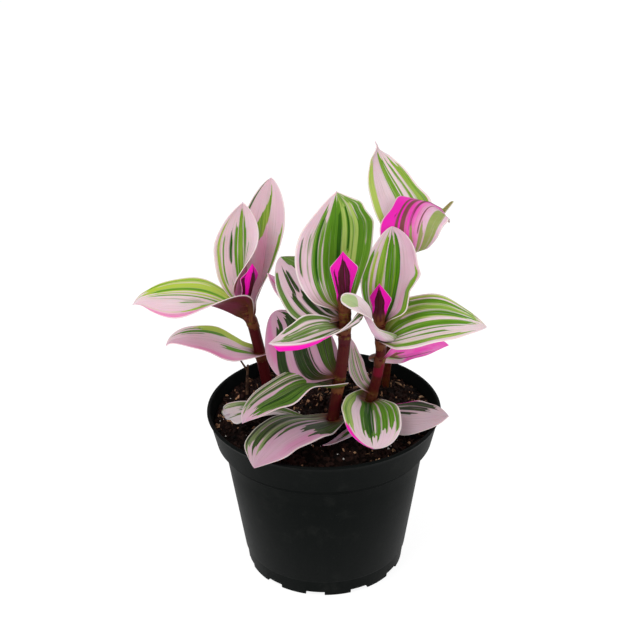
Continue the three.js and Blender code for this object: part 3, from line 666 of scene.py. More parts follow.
def leaf_material(look):
    """Pink and green stripes above, magenta below, a pale margin and a maroon sheath."""
    material, nodes, surface = new_material("striped_leaf")
    across = nodes.attribute("across")
    lane = nodes.attribute("lane")
    along = nodes.attribute("along")
    green = nodes.attribute("green")
    depth = nodes.attribute("depth")
    pink = nodes.attribute("pink")
    hot = nodes.attribute("hot")
    under = nodes.attribute("under")
    sheath = nodes.attribute("sheath")
    seed = nodes.attribute("seed")
    young = nodes.attribute("young")
    silver = nodes.attribute("silver")
    dull = nodes.attribute("dull")
    rim = nodes.attribute("rim")
    heel = nodes.attribute("heel")
    foot = nodes.attribute("foot")

    def lanes(number, shift, stretch, detail):
        """Noise in lanes along the leaf, so many over half its width."""
        where = nodes.point(lane * number + seed * shift, along * stretch, seed)
        return nodes.grain(where, 1.0, detail)

    # Noise in broad lanes, fine lanes and hair lines, and in clouds all over the leaf
    broad = lanes(number=7, shift=13, stretch=1.3, detail=3.0)
    fine = lanes(number=21, shift=31, stretch=1.4, detail=2.0)
    hair = lanes(number=90, shift=7, stretch=2.5, detail=1.0)
    cloud = nodes.grain(nodes.point(across * 2.5, along * 4 + seed * 5, seed), 1.0)

    # Green stripes with ragged edges, and thin lines of each colour inside the other
    ragged = green + (broad - 0.5) * 0.12 + (fine - 0.5) * 0.1
    stripe = ragged.step(-0.015, 0.02)
    pale_line = fine.step(0.60, 0.66) * 0.22
    dark_line = fine.step(0.40, 0.34) * 0.5 * (green.step(-0.3, -0.02))
    stripe = stripe * (1 - pale_line) + dark_line * (1 - stripe)

    # Greens from light to dark, each in a fresh and a silvery shade
    tone = depth + (broad - 0.5) * 0.7 + (fine - 0.5) * 0.7 + (hair - 0.5) * 0.7
    light_green = nodes.blend(silver, look.light_green, SILVER_LIGHT)
    mid_green = nodes.blend(silver, look.mid_green, SILVER_MID)
    dark_green = nodes.blend(silver, look.dark_green, SILVER_DARK)
    greens = nodes.blend(tone.step(0.0, 0.5), light_green, mid_green)
    greens = nodes.blend(tone.step(0.5, 1.0), greens, dark_green)

    # Pinks from nearly white to hot, with grey lines
    flush = pink + (cloud - 0.5) * 0.4
    pinks = nodes.blend(flush.step(0.0, 0.8), look.white, look.soft_pink)
    pinks = nodes.blend(flush.step(0.8, 1.6), pinks, look.deep_pink)
    glow = hot + (cloud - 0.5) * 0.2
    pinks = nodes.blend(glow.step(0.1, 0.9), pinks, HOT_PINK)
    pinks = nodes.blend(glow.step(0.9, 1.4), pinks, GLOWING_PINK)
    grey_line = hair.step(0.56, 0.70) * 0.35
    pinks = nodes.blend(grey_line, pinks, LINE_GREY)
    upper = nodes.blend(stripe, pinks, greens)

    # The underside: magenta under the pinks, and olive, brown and plum under the greens
    magenta = nodes.blend(flush.step(0.0, 0.7), UNDER_WHITE, look.magenta)
    under_green = nodes.blend(depth.step(0.1, 0.6), UNDER_OLIVE, UNDER_BROWN)
    under_green = nodes.blend(depth.step(0.6, 1.0), under_green, UNDER_PLUM)
    lower = nodes.blend(stripe * 0.9, magenta, under_green)
    young_skin = nodes.blend(stripe, YOUNG_PINK, YOUNG_PLUM)

    # The base of the blade, maroon below and brown on both faces
    foot_share = (along + (fine - 0.5) * 0.16).step(0.2, 0.04)
    heel_share = (along + (fine - 0.5) * 0.2 - heel * 0.16).step(0.36, 0.1) * heel
    upper = nodes.blend(foot_share * 0.6 * foot, upper, FOOT_BROWN)
    lower = nodes.blend(heel_share * 0.95, lower, HEEL_MAROON)
    lower = nodes.blend(foot_share * heel, lower, HEEL_BROWN)
    skin = nodes.blend(under, upper, lower)
    skin = nodes.blend(young, skin, young_skin)

    # The pale margin, painted shade and a duller tone that darken some leaves toward brown, and the collar
    margin = abs(across).step(0.945, 0.975) * (1 - sheath) * (1 - glow.step(0.5, 1.0))
    skin = nodes.blend(margin * 0.8 * rim, skin, MARGIN_WHITE)
    skin = nodes.blend(dull * 0.35, skin, DULL_SHADE_BROWN)
    sheath_skin = nodes.blend(broad.step(0.35, 0.65), SHEATH_MAROON, SHEATH_BROWN)
    skin = nodes.blend(sheath, skin, sheath_skin)

    veins = nodes.bump(fine * 0.6 + hair * 0.4, strength=0.35, distance=0.0004)
    finish_surface(nodes, surface, skin, 0.4 + fine * 0.2, veins, Specular_IOR_Level=0.12,
                   Subsurface_Weight=0.3, Subsurface_Radius=(1.0, 0.5, 0.4), Subsurface_Scale=0.0012)
    return material


def stem_material(look):
    """Maroon stems, greener at the nodes, with fine lengthwise lines."""
    material, nodes, surface = new_material("maroon_stem")
    node = nodes.attribute("node")
    olive = nodes.attribute("olive")
    crimson = nodes.attribute("crimson")
    around = nodes.attribute("around")
    height = nodes.attribute("height")
    lines = nodes.grain(nodes.point(around * 14, height * 0.12, 0.0), 1.0)
    patches = nodes.grain(nodes.place(), scale=420.0)
    skin = nodes.blend(lines, look.dark_maroon, look.light_maroon)
    skin = nodes.blend(olive * patches.step(0.3, 0.7), skin, STEM_OLIVE)
    skin = nodes.blend(crimson * 0.8, skin, STEM_CRIMSON)
    skin = nodes.blend(node * patches.step(0.35, 0.65) * 0.6, skin, NODE_OLIVE)
    ridges = nodes.bump(lines, strength=0.4, distance=0.0003)
    finish_surface(nodes, surface, skin, 0.34 + lines * 0.2, ridges, Specular_IOR_Level=0.09,
                   Subsurface_Weight=0.1, Subsurface_Radius=(1.0, 0.3, 0.25), Subsurface_Scale=0.0012)
    return material


def plastic_material(look):
    """Black satin moulded plastic with faint upright flow lines, scuffs and a little dust."""
    material, nodes, surface = new_material("black_plastic")
    where = nodes.place()
    pebble = nodes.grain(where, scale=1400.0, detail=2.0)
    flow = nodes.grain(nodes.scaled(where, 1.0, 1.0, 0.05), scale=260.0)
    dust = nodes.grain(where, scale=90.0, detail=6.0, roughness=0.7)
    specks = nodes.grain(where, scale=2600.0, detail=1.0).step(0.7, 0.76)
    skin = nodes.blend(flow, look.plastic, look.flow_lines)
    skin = nodes.blend(dust.step(0.5, 0.8) * 0.06 + specks * 0.12, skin, POT_DUST)
    texture = nodes.bump(pebble * 0.5 + flow * 0.5, strength=0.3, distance=0.0003)
    finish_surface(nodes, surface, skin, 0.42 + pebble * 0.1 + dust * 0.1, texture,
                   Specular_IOR_Level=0.035)
    return material


def soil_material(look):
    """Damp peat: nearly black, with reddish brown fibres."""
    material, nodes, surface = new_material("peat")
    where = nodes.place()
    lumps = nodes.grain(where, scale=260.0, detail=5.0, roughness=0.65)
    fibres = nodes.grain(nodes.scaled(where, 1.0, 3.0, 1.0), scale=700.0, detail=3.0)
    brown = nodes.attribute("brown")
    skin = nodes.blend(lumps.step(0.35, 0.75), look.dark_peat, look.light_peat)
    # Fibres show only with the brown matter, so there are few in the painted shade at the front of the soil
    skin = nodes.blend(fibres.step(0.58, 0.72) * brown * 0.7, skin, look.fibre)
    texture = nodes.bump(lumps * 0.6 + fibres * 0.4, strength=0.9, distance=0.001)
    finish_surface(nodes, surface, skin, 0.75 + lumps * 0.25, texture, Specular_IOR_Level=0.06)
    return material


def crumb_material(name, dark, light):
    """Loose crumbs of one kind, from dark to light."""
    material, nodes, surface = new_material(name)
    where = nodes.place()
    tone = nodes.grain(where, scale=240.0, detail=2.0)
    grain = nodes.grain(where, scale=1800.0, detail=3.0)
    skin = nodes.blend(tone.step(0.3, 0.7), dark, light)
    skin = nodes.blend(grain * 0.4, skin, dark)
    texture = nodes.bump(grain, strength=0.8, distance=0.0005)
    finish_surface(nodes, surface, skin, 0.7 + grain * 0.25, texture, Specular_IOR_Level=0.12)
    return material


def hair_material():
    """Fine pale hairs."""
    material, nodes, surface = new_material("pale_hair")
    tone = nodes.grain(nodes.place(), scale=500.0)
    finish_surface(nodes, surface, nodes.blend(tone, *HAIR_COLOURS), 0.4 + tone * 0.2)
    return material


def floor_material():
    """A plain pale floor."""
    material, nodes, surface = new_material("pale_floor")
    grain = nodes.grain(nodes.place(), scale=30.0)
    finish_surface(nodes, surface, nodes.blend(grain, *FLOOR_COLOURS), 0.8 + grain * 0.1,
                   Emission_Color=(1, 1, 1, 1), Emission_Strength=0.87, Specular_IOR_Level=0.0)
    return material


def material_of(name, make, *settings):
    """The material of that name, made the first time it is asked for."""
    found = bpy.data.materials.get(name)
    return found or make(*settings)


def new_piece(name, points, faces, material, fields=None):
    """A mesh object from points in millimetres, its faces and its named number fields."""
    mesh = bpy.data.meshes.new(name)
    mesh.from_pydata([tuple(p) for p in np.asarray(points) * MM], [], [tuple(f) for f in faces])
    for field, values in (fields or {}).items():
        attribute = mesh.attributes.new(field, "FLOAT", "POINT")
        attribute.data.foreach_set("value", np.asarray(values, np.float32))
    mesh.shade_smooth()
    mesh.materials.append(material)
    mesh.update()
    piece = bpy.data.objects.new(name, mesh)
    bpy.context.scene.collection.objects.link(piece)
    return piece


def settle(piece, slot, *nodes):
    """The piece rides on the plant and stands for its CAD nodes, which it hides; its slot is not used."""
    if nodes:
        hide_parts(*nodes)
    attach(piece, BODY)


def apply_modifiers(piece):
    """Turns what a piece's modifiers make of it into its plain mesh."""
    depsgraph = bpy.context.evaluated_depsgraph_get()
    mesh = bpy.data.meshes.new_from_object(piece.evaluated_get(depsgraph))
    piece.modifiers.clear()
    piece.data = mesh


def smooth_rise(values, low, high):
    """0 below low, 1 above high, and a smooth rise between them."""
    share = np.clip((values - low) / (high - low), 0, 1)
    return share * share * (3 - 2 * share)


def mix(pair, share):
    """A value on the way from the first of a pair to the second."""
    return pair[0] + (pair[1] - pair[0]) * share


def stem_centre(stem, height):
    """The stem's centre at a height, on straight lines between its path's points."""
    path = np.array(stem.path, float)
    return np.array([np.interp(height, path[:, 2], path[:, i]) for i in range(3)])


def stem_direction(stem, height):
    """The way the stem grows at a height, as a vector of length 1."""
    reach = 2
    step = stem_centre(stem, height + reach) - stem_centre(stem, height - reach)
    return step / np.linalg.norm(step)


def leaf_frames(leaf, shares):
    """At shares of the leaf's length: along it, to its right side, and out of its upper face."""
    heading = np.radians(mix(leaf.heading, shares))

    # One curve through the slopes at base, middle and tip
    base, middle, tip = leaf.rise
    slope = np.radians(base * (1 - shares) * (1 - 2 * shares) + middle * 4 * shares * (1 - shares)
                       + tip * shares * (2 * shares - 1) + leaf.hook * smooth_rise(shares, HOOK_START, 1))
    roll = np.radians(mix(leaf.roll, shares))[:, None]
    level = np.cos(slope)
    along = np.stack([np.cos(heading) * level, np.sin(heading) * level, np.sin(slope)], -1)
    side = np.stack([np.sin(heading), -np.cos(heading), 0 * heading], -1)
    upper = np.cross(side, along)
    rolled_side = side * np.cos(roll) + upper * np.sin(roll)
    rolled_upper = upper * np.cos(roll) - side * np.sin(roll)
    return along, rolled_side, rolled_upper


def width_shares(leaf, shares):
    """Half the blade's width along its length, as a share of its widest half."""
    if leaf.shoulder:
        rise = SHOULDER_BASE + (1 - SHOULDER_BASE) * shares / leaf.shoulder
        fall = (1 - shares) / (1 - leaf.shoulder)
        sharpness = SHOULDER_SHARPNESS
        return -np.log(np.exp(-sharpness * rise) + np.exp(-sharpness * fall)) / sharpness
    blunt, sharp = leaf.outline
    peak = (blunt / (blunt + sharp)) ** blunt * (sharp / (blunt + sharp)) ** sharp
    return shares ** blunt * (1 - shares) ** sharp / peak


def hem_share(leaf, along, across):
    """How far each point of the left margin is turned down to show its underside, from 0 to 1."""
    if not leaf.hem:
        return 0 * along * across
    reach = smooth_rise(along, *HEM_START) * (1 - smooth_rise(along, *HEM_END))
    return reach * np.clip((-across - 1 + HEM_WIDTH) / HEM_WIDTH, 0, 1)


def tear_line(across):
    """How far back a torn end runs, as an uneven share across the leaf."""
    return 0.5 + 0.3 * np.sin(7 * across + 1) + 0.2 * np.sin(19 * across)


def blade_grid(leaf, sizes, seed):
    """The middle of the blade's thickness, as a grid of points along and across it."""
    stem = STEMS[leaf.stem]
    shares = (1 - np.cos(np.pi * np.linspace(0, 1, sizes.rows + 1))) / 2
    across = np.linspace(-1, 1, sizes.columns + 1)[None, :]
    steps = leaf_frames(leaf, (shares[1:] + shares[:-1]) / 2)[0] * np.diff(shares)[:, None] * leaf.length
    turn = math.radians(leaf.heading[0])
    start = CROWN_START if leaf.terminal else stem.radius + GAP
    base = stem_centre(stem, leaf.up) + start * np.array([math.cos(turn), math.sin(turn), 0])
    midrib = base + np.vstack([np.zeros(3), np.cumsum(steps, 0)])
    along, side, upper = leaf_frames(leaf, shares)

    half = width_shares(leaf, shares) * leaf.width / 2
    if any(leaf.spine):
        half = half * (1 - SPINE_PINCH * smooth_rise(shares, *SPINE_PINCH_SPAN))
    half = np.maximum(half, NARROWEST_HALF_MM)[:, None]
    length_share = shares[:, None]
    for margin, where, reach, amount in leaf.bulges:
        swelling = np.exp(-((length_share - where) / reach) ** 2)
        half = half * (1 + amount * swelling * smooth_rise(across * margin, 0, 1))

    # Both halves bend up from the midrib, with a groove over it, waves in the margins and a turned hem
    fold = np.radians(mix(leaf.fold, shares))[:, None]
    curl = math.radians(leaf.curl or LEAST_CURL)
    bend = fold + curl * abs(across)
    sideways = (np.sin(bend) - np.sin(fold)) / curl * half * np.sign(across)
    lift = (np.cos(fold) - np.cos(bend)) / curl * half
    fullness = np.sin(np.pi * length_share)
    lift = lift - sizes.groove * np.exp(-(sideways / sizes.groove_width) ** 2) * np.sqrt(fullness)
    shift = seed * RIPPLE_SHIFT + RIGHT_RIPPLE_SHIFT * (across > 0)
    ripple = np.sin(2 * np.pi * (sizes.ripples * length_share + shift))
    wave = np.where(across < 0, leaf.wave[0], leaf.wave[1])
    lift = lift + wave * sizes.wave * ripple * abs(across) ** 3 * fullness
    turned_down = hem_share(leaf, length_share, across)
    lift = lift - leaf.hem * turned_down
    sideways = sideways * (1 - HEM_TUCK * HEM_WIDTH * turned_down)
    points = midrib[:, None, :] + side[:, None, :] * sideways[..., None]
    points = points + upper[:, None, :] * lift[..., None]

    # The base of the blade closes round the stem, and a lobe stands out from it on its way there
    lobe = np.where(across < 0, leaf.lobes[0], leaf.lobes[1])
    out = length_share * leaf.length
    held_length = np.minimum(sizes.clasp_length + lobe, leaf.length * LONGEST_CLASP)
    hold = 1 - smooth_rise(out, 0, held_length)
    angle = turn - np.radians(np.where(across < 0, leaf.clasp[0], leaf.clasp[1])) * across
    spread = np.sin(np.pi / 2 * np.minimum(out / held_length * LOBE_SPREAD, 1))
    stand_out = lobe * abs(across) ** LOBE_FULLNESS * spread
    radius = stem.radius + sizes.clasp_gap + out * CLASP_CONE + stand_out
    centre = stem_centre(stem, leaf.up)
    base_rise = math.sin(math.radians(leaf.rise[0]))
    height = out * base_rise + abs(across) * SHEATH_RISE + stand_out * leaf.lobe_rise
    clasp = np.stack([centre[0] + radius * np.cos(angle), centre[1] + radius * np.sin(angle),
                      centre[2] + height], -1)
    points = points * (1 - hold[..., None]) + clasp * hold[..., None]

    # The drawn-out tip, the bow and the torn end move the finished blade
    points = points + np.array(leaf.spine) * smooth_rise(length_share, SPINE_START, 1)[..., None]
    bow_height, bow_place, bow_reach = leaf.bow
    bowed = np.exp(-((length_share - bow_place) / bow_reach) ** 2) * smooth_rise(length_share, *BOW_SPAN)
    points = points + np.array([0, 0, bow_height]) * bowed[..., None]
    torn_back = leaf.torn * tear_line(across) * smooth_rise(length_share, *TEAR_SPAN)
    points = points - along[:, None, :] * torn_back[..., None]
    return shares, across[0], points


def leaf_fields(leaf, shares, across, seed):
    """The leaf's markings as numbers over its grid."""
    green = np.full((len(shares), len(across)), BARE)
    along = shares[:, None]
    across = across[None, :]

    # Stripes end unevenly across their width
    ragged = 0.05 * np.sin(19 * across + 31 * seed) + 0.04 * np.sin(43 * across + 57 * seed)
    depth = np.zeros_like(green)
    for place, half, start, end, dark in leaf.stripes:
        middle = mix(place, along) if isinstance(place, tuple) else place
        widest = mix(half, along) if isinstance(half, tuple) else half
        first, fully = (start + step for step in STRIPE_START_SPAN)
        fading, last = (end + step for step in STRIPE_END_SPAN)
        reach = smooth_rise(along, first, fully) if start > 0 else np.ones_like(along)
        reach = reach * (1 - smooth_rise(along + ragged, fading, last))
        inside = widest * reach - abs(across - middle) - (1 - reach) * STRIPE_TAPER
        if dark == PALE:
            green = np.minimum(green, -inside)
        else:
            depth = np.where(inside > -STRIPE_EDGE, dark, depth)
            green = np.maximum(green, inside)

    # Pinks from margin to margin, hot patches, and the glow of a turned margin
    pink = mix(leaf.pink, (across + 1) / 2) + 0 * along
    hot = 0 * green
    for place, where, reach, strength in leaf.hot:
        distance = np.sqrt(((across - place) / HOT_STRETCH) ** 2 + (along - where) ** 2) / reach
        hot = np.maximum(hot, strength * (1 - smooth_rise(distance, HOT_CORE, 1)))
    if leaf.hem:
        folded = hem_share(leaf, along, across)
        hot = np.maximum(hot, HEM_GLOW * smooth_rise(folded, *HEM_GLOW_SPAN))
        green = np.where(folded > HEM_BARE, BARE, green)
    return {"green": green, "depth": depth, "pink": pink, "hot": hot, "across": across + 0 * along,
            "lane": across - leaf.slant * along, "along": along + 0 * across}


def lobe_share(leaf, shares, across):
    """How far each point belongs to a lobe at the base, whose two faces look alike."""
    out = shares[:, None] * leaf.length
    lobe = np.where(across < 0, leaf.lobes[0], leaf.lobes[1])[None, :]
    outer = smooth_rise(abs(across), *LOBE_SIDE_SPAN)[None, :]
    fading, last = (lobe + step for step in LOBE_END_SPAN)
    return outer * (1 - smooth_rise(out, fading, last)) * smooth_rise(lobe, *SMALL_LOBE)


def grid_faces(rows, columns):
    """Faces of a closed slab whose upper grid of points is followed by its lower one."""
    width = columns + 1
    below = (rows + 1) * width
    faces = []
    for i in range(rows):
        for j in range(columns):
            a = i * width + j
            faces.append((a, a + 1, a + width + 1, a + width))
            faces.append((below + a, below + a + width, below + a + width + 1, below + a + 1))
        left = i * width
        right = left + columns
        faces.append((left, left + width, below + left + width, below + left))
        faces.append((right, below + right, below + right + width, right + width))
    last = rows * width
    for j in range(columns):
        faces.append((j, below + j, below + j + 1, j + 1))
        faces.append((last + j, last + j + 1, below + last + j + 1, below + last + j))
    return faces


def sheath_mesh(leaf, sizes):
    """The short collar that grows out of the stem and carries the blade: points and faces."""
    stem = STEMS[leaf.stem]
    centre = stem_centre(stem, leaf.up)
    axis = stem_direction(stem, leaf.up)
    right = np.cross(axis, (0, 1, 0))
    right = right / np.linalg.norm(right)
    front = np.cross(axis, right)
    heading = math.radians(leaf.heading[0])
    blade_side = np.array([math.cos(heading), math.sin(heading), 0])
    outer = stem.radius + sizes.clasp_gap + SHEATH_CLEARANCE
    inner = stem.radius - SHEATH_SINK
    below = [other.up for other in LEAVES if other.stem == leaf.stem and other.up < leaf.up]
    depth = min(SHEATH_DEPTH, SHEATH_ROOM_SHARE * (leaf.up - max(below, default=0)))
    points = []
    faces = []

    # The collar's section, each point as its share of the height and its radius
    rows = ((0.0, inner), (0.0, stem.radius), (0.35, stem.radius + 0.1), (0.65, stem.radius + 0.28),
            (0.88, outer - 0.08), (1.0, outer), (1.0, outer - 0.3), (0.8, inner))
    count = len(rows)
    for i in range(SHEATH_SIDES):
        turn = 2 * math.pi * i / SHEATH_SIDES
        outwards = right * math.cos(turn) + front * math.sin(turn)
        away = math.acos(max(-1.0, min(1.0, float(outwards @ blade_side)))) / math.pi
        top = SHEATH_TOP + SHEATH_RISE * away
        for share, radius in rows:
            points.append(centre + outwards * radius + axis * (share * (top + depth) - depth))
        for j in range(count):
            k = (i + 1) % SHEATH_SIDES
            n = (j + 1) % count
            faces.append((i * count + j, k * count + j, k * count + n, i * count + n))
    return points, faces


def build_leaf(leaf, sizes, order):
    """One leaf: its blade and its sheath in one mesh."""
    seed = (order * SEED_STEP) % 1
    shares, across, middle = blade_grid(leaf, sizes, seed * WAVE_SEEDS)
    normal = np.cross(np.gradient(middle, axis=1), np.gradient(middle, axis=0))
    normal = normal / np.maximum(np.linalg.norm(normal, axis=-1, keepdims=True), 1e-9)
    thickness = sizes.edge + (sizes.thickness - sizes.edge) * np.sqrt(1 - across ** 2)[None, :, None]
    upper = middle + normal * thickness / 2
    lower = middle - normal * thickness / 2
    fields = leaf_fields(leaf, shares, across, seed)
    ring, ring_faces = sheath_mesh(leaf, sizes)
    blade_count = upper.shape[0] * upper.shape[1]
    points = np.vstack([upper.reshape(-1, 3), lower.reshape(-1, 3), np.array(ring)])
    faces = grid_faces(sizes.rows, sizes.columns)
    faces += [tuple(2 * blade_count + index for index in face) for face in ring_faces]
    held = 1 - smooth_rise(shares * leaf.length, *SHEATH_COLOUR_REACH)
    held = np.broadcast_to(held[:, None], fields["green"].shape)
    below = 1 - lobe_share(leaf, shares, across)
    all_fields = {name: np.concatenate([grid.ravel(), grid.ravel(), np.zeros(len(ring))])
                  for name, grid in fields.items()}
    all_fields["sheath"] = np.concatenate([held.ravel(), held.ravel(), np.ones(len(ring))])
    all_fields["under"] = np.concatenate([np.zeros(blade_count), below.ravel(), np.zeros(len(ring))])
    whole_leaf = {"seed": seed, "young": float(leaf.young), "silver": leaf.silver, "dull": leaf.dull,
                  "rim": leaf.rim, "heel": leaf.heel, "foot": leaf.foot}
    for name, value in whole_leaf.items():
        all_fields[name] = np.full(len(points), value)
    material = material_of("striped_leaf", leaf_material, sizes)
    piece = new_piece(leaf.name + "_blade", points, faces, material, all_fields)
    settle(piece, "young_leaf" if leaf.young else "leaf", leaf.name)


def smooth_path(points, count):
    """A curve through the points, as count points evenly spaced by their order."""
    points = np.array(points, float)
    ends = np.vstack([2 * points[0] - points[1], points, 2 * points[-1] - points[-2]])
    places = np.linspace(0, len(points) - 1 - 1e-9, count)
    curve = []
    for place in places:
        i = int(place)
        t = place - i
        a, b, c, d = ends[i:i + 4]
        curve.append(0.5 * (2 * b + (c - a) * t + (2 * a - 5 * b + 4 * c - d) * t ** 2
                            + (3 * b - a - 3 * c + d) * t ** 3))
    return np.array(curve)


def tube(path, radii, sides, ridges=0.0):
    """A closed tube along a path: its points, faces, and each point's share of the way round."""
    steps = np.gradient(path, axis=0)
    steps = steps / np.linalg.norm(steps, axis=1, keepdims=True)
    right = np.cross(steps, (0, 1, 0))
    right = right / np.linalg.norm(right, axis=1, keepdims=True)
    front = np.cross(steps, right)
    turn = 2 * np.pi * np.arange(sides) / sides
    shape = 1 + ridges * np.cos(turn * RIDGE_COUNT)
    to_right = right[:, None, :] * np.cos(turn)[None, :, None]
    to_front = front[:, None, :] * np.sin(turn)[None, :, None]
    outwards = to_right + to_front
    points = path[:, None, :] + outwards * (np.asarray(radii)[:, None] * shape[None, :])[..., None]
    count = len(path)
    faces = []
    for i in range(count - 1):
        for j in range(sides):
            k = (j + 1) % sides
            faces.append((i * sides + j, (i + 1) * sides + j, (i + 1) * sides + k, i * sides + k))
    faces.append(tuple(range(sides)))
    faces.append(tuple((count - 1) * sides + j for j in reversed(range(sides))))
    around = np.broadcast_to(np.minimum(turn, 2 * np.pi - turn)[None, :], (count, sides)).ravel()
    return points.reshape(-1, 3), faces, around


def build_stem(key, sizes):
    """One stem, with a slight swelling at each node."""
    stem = STEMS[key]
    low = stem_direction(stem, SOIL_TOP + STEM_FOOT_RISE)
    foot = np.array(stem.path[0]) - low * STEM_SINK / low[2]
    path = smooth_path([foot, *stem.path], sizes.stem_rings)
    heights = path[:, 2]
    nodes = [leaf.up for leaf in LEAVES if leaf.stem == key and not leaf.terminal]
    swelling = np.zeros(len(path))
    for node in nodes:
        swelling = np.maximum(swelling, np.exp(-((heights - node) / sizes.node_reach) ** 2))
    top = heights[-1]
    radii = stem.radius * (1 + sizes.swelling * swelling)
    cap = np.clip((top + STEM_CAP - heights) / STEM_CAP_REACH, NARROWEST_CAP_SHARE, 1)
    radii = radii * np.sqrt(cap)
    points, faces, around = tube(path, radii, sizes.stem_sides, sizes.ridges)
    repeat = sizes.stem_sides
    crimson = np.zeros(len(path))
    if stem.crimson:
        first, last = stem.crimson
        crimson = smooth_rise(heights, first, first + CRIMSON_BLUR)
        crimson = crimson * (1 - smooth_rise(heights, last - CRIMSON_BLUR, last))
    fields = {"node": np.repeat(swelling, repeat), "height": np.repeat(heights, repeat),
              "around": around, "olive": np.full(len(points), stem.olive),
              "crimson": np.repeat(crimson, repeat)}
    name = "stem_" + key
    material = material_of("maroon_stem", stem_material, sizes)
    piece = new_piece(name + "_skin", points, faces, material, fields)
    settle(piece, "stem", name)
    return piece


def turned(profile, sides):
    """Points and faces of a body turned about +Z from a closed profile that starts and ends on the axis."""
    points = [(0, 0, profile[0][1])]
    rings = profile[1:-1]
    for radius, height in rings:
        for i in range(sides):
            turn = 2 * math.pi * i / sides
            points.append((radius * math.cos(turn), radius * math.sin(turn), height))
    points.append((0, 0, profile[-1][1]))
    last = len(points) - 1
    faces = []
    for i in range(sides):
        k = (i + 1) % sides
        faces.append((0, 1 + k, 1 + i))
        for ring in range(len(rings) - 1):
            a = 1 + ring * sides
            faces.append((a + i, a + k, a + sides + k, a + sides + i))
        a = 1 + (len(rings) - 1) * sides
        faces.append((a + i, a + k, last))
    return points, faces


def arc(centre_radius, centre_height, radius, first, last, count):
    """Profile points on a quarter or other part of a circle."""
    turns = np.radians(np.linspace(first, last, count))
    return [(centre_radius + radius * math.cos(t), centre_height + radius * math.sin(t)) for t in turns]


def pot_profile():
    """The pot's section, from under its centre out round the foot, up, over the rim and down inside.

    The small steps beside its sizes round its corners off.
    """
    ring_inside = FOOT_RADIUS - FOOT_RING_WIDTH
    edge = FOOT_EDGE_RADIUS
    lip = RIM_LIP / 2
    return [
        (0, 0), (CENTRE_PAD_RADIUS - 1, 0), (CENTRE_PAD_RADIUS, 0.2),
        (CENTRE_PAD_RADIUS + FLOOR_RISE, FLOOR_RISE), (ring_inside - 1, FLOOR_RISE),
        *arc(ring_inside + edge, edge, edge, 180, 270, 4),
        *arc(FOOT_RADIUS - edge, edge, edge, 270, 360, 4),
        (FOOT_TOP_RADIUS, FOOT_HEIGHT - 1), (FOOT_TOP_RADIUS + 0.08, FOOT_HEIGHT - 0.7),
        (FOOT_TOP_RADIUS + FOOT_STEP - 0.1, FOOT_HEIGHT - 0.15), (FOOT_TOP_RADIUS + FOOT_STEP, FOOT_HEIGHT),
        (BODY_TOP_RADIUS - 1.0, LEDGE_HEIGHT - 8), (BODY_TOP_RADIUS, LEDGE_HEIGHT - 0.8),
        (BODY_TOP_RADIUS + 0.1, LEDGE_HEIGHT - 0.5), (LEDGE_RADIUS - 0.3, LEDGE_HEIGHT - 0.05),
        (LEDGE_RADIUS, LEDGE_HEIGHT + 0.25), (LEDGE_RADIUS + 0.2, BAND_BOTTOM - 0.3),
        (LEDGE_RADIUS + 0.45, BAND_BOTTOM - 0.02), (BAND_RADIUS - 0.3, BAND_BOTTOM),
        (BAND_RADIUS, BAND_BOTTOM + 0.3), (RIM_RADIUS - 1.2, POT_HEIGHT - 3.2),
        (RIM_RADIUS - 0.6, POT_HEIGHT - 1.5),
        *arc(RIM_RADIUS - lip, POT_HEIGHT - lip, lip, 0, 180, 10),
        (RIM_RADIUS - RIM_LIP - 0.4, POT_HEIGHT - 2), (BAND_RADIUS - WALL, BAND_BOTTOM + 1),
        (LEDGE_RADIUS - WALL, LEDGE_HEIGHT), (BODY_TOP_RADIUS - WALL, LEDGE_HEIGHT - SHOULDER_HEIGHT),
        (INNER_FOOT_RADIUS, FLOOR_TOP), (0, FLOOR_TOP),
    ]


def pot_cutters():
    """Notches under the foot and drain holes through the floor, in one mesh."""
    shape = bmesh.new()
    for i in range(NOTCH_COUNT):
        turn = Matrix.Rotation(math.radians(FIRST_NOTCH + i * 360 / NOTCH_COUNT), 4, "Z")
        size = Matrix.Diagonal((NOTCH_WIDTH, 3 * FOOT_RING_WIDTH, 2 * NOTCH_HEIGHT, 1))
        place = turn @ Matrix.Translation((0, -FOOT_RADIUS, 0)) @ size
        bmesh.ops.create_cube(shape, size=1, matrix=place)
    for i in range(DRAIN_COUNT):
        turn = Matrix.Rotation(2 * math.pi * i / DRAIN_COUNT, 4, "Z")
        place = turn @ Matrix.Translation((DRAIN_CIRCLE, 0, 0))
        bmesh.ops.create_cone(shape, cap_ends=True, segments=DRAIN_SIDES, radius1=DRAIN_RADIUS,
                              radius2=DRAIN_RADIUS, depth=4 * FLOOR_TOP, matrix=place)
    bmesh.ops.scale(shape, vec=(MM, MM, MM), verts=shape.verts)
    mesh = bpy.data.meshes.new("pot_cutters")
    shape.to_mesh(mesh)
    shape.free()
    cutters = bpy.data.objects.new("pot_cutters", mesh)
    bpy.context.scene.collection.objects.link(cutters)
    return cutters


def inner_radius(height):
    """Radius of the pot's inner wall at a height."""
    heights = (FLOOR_TOP, LEDGE_HEIGHT - SHOULDER_HEIGHT, LEDGE_HEIGHT, BAND_BOTTOM + 1, POT_HEIGHT - 1)
    radii = (INNER_FOOT_RADIUS, BODY_TOP_RADIUS - WALL, LEDGE_RADIUS - WALL, BAND_RADIUS - WALL,
             RIM_RADIUS - RIM_LIP - 0.3)
    return float(np.interp(height, heights, radii))


def soil_height(x, y, roughness):
    """Height of the soil's lumpy surface."""
    far = math.hypot(x, y) / inner_radius(SOIL_TOP)
    where = Vector((x, y, 0)) / SOIL_LUMP_SIZE
    lumps = noise.fractal(where, 1.0, 2.0, SOIL_OCTAVES) * roughness
    return SOIL_TOP - SOIL_EDGE_DROP * far ** 4 + lumps * (1 - far ** 6)


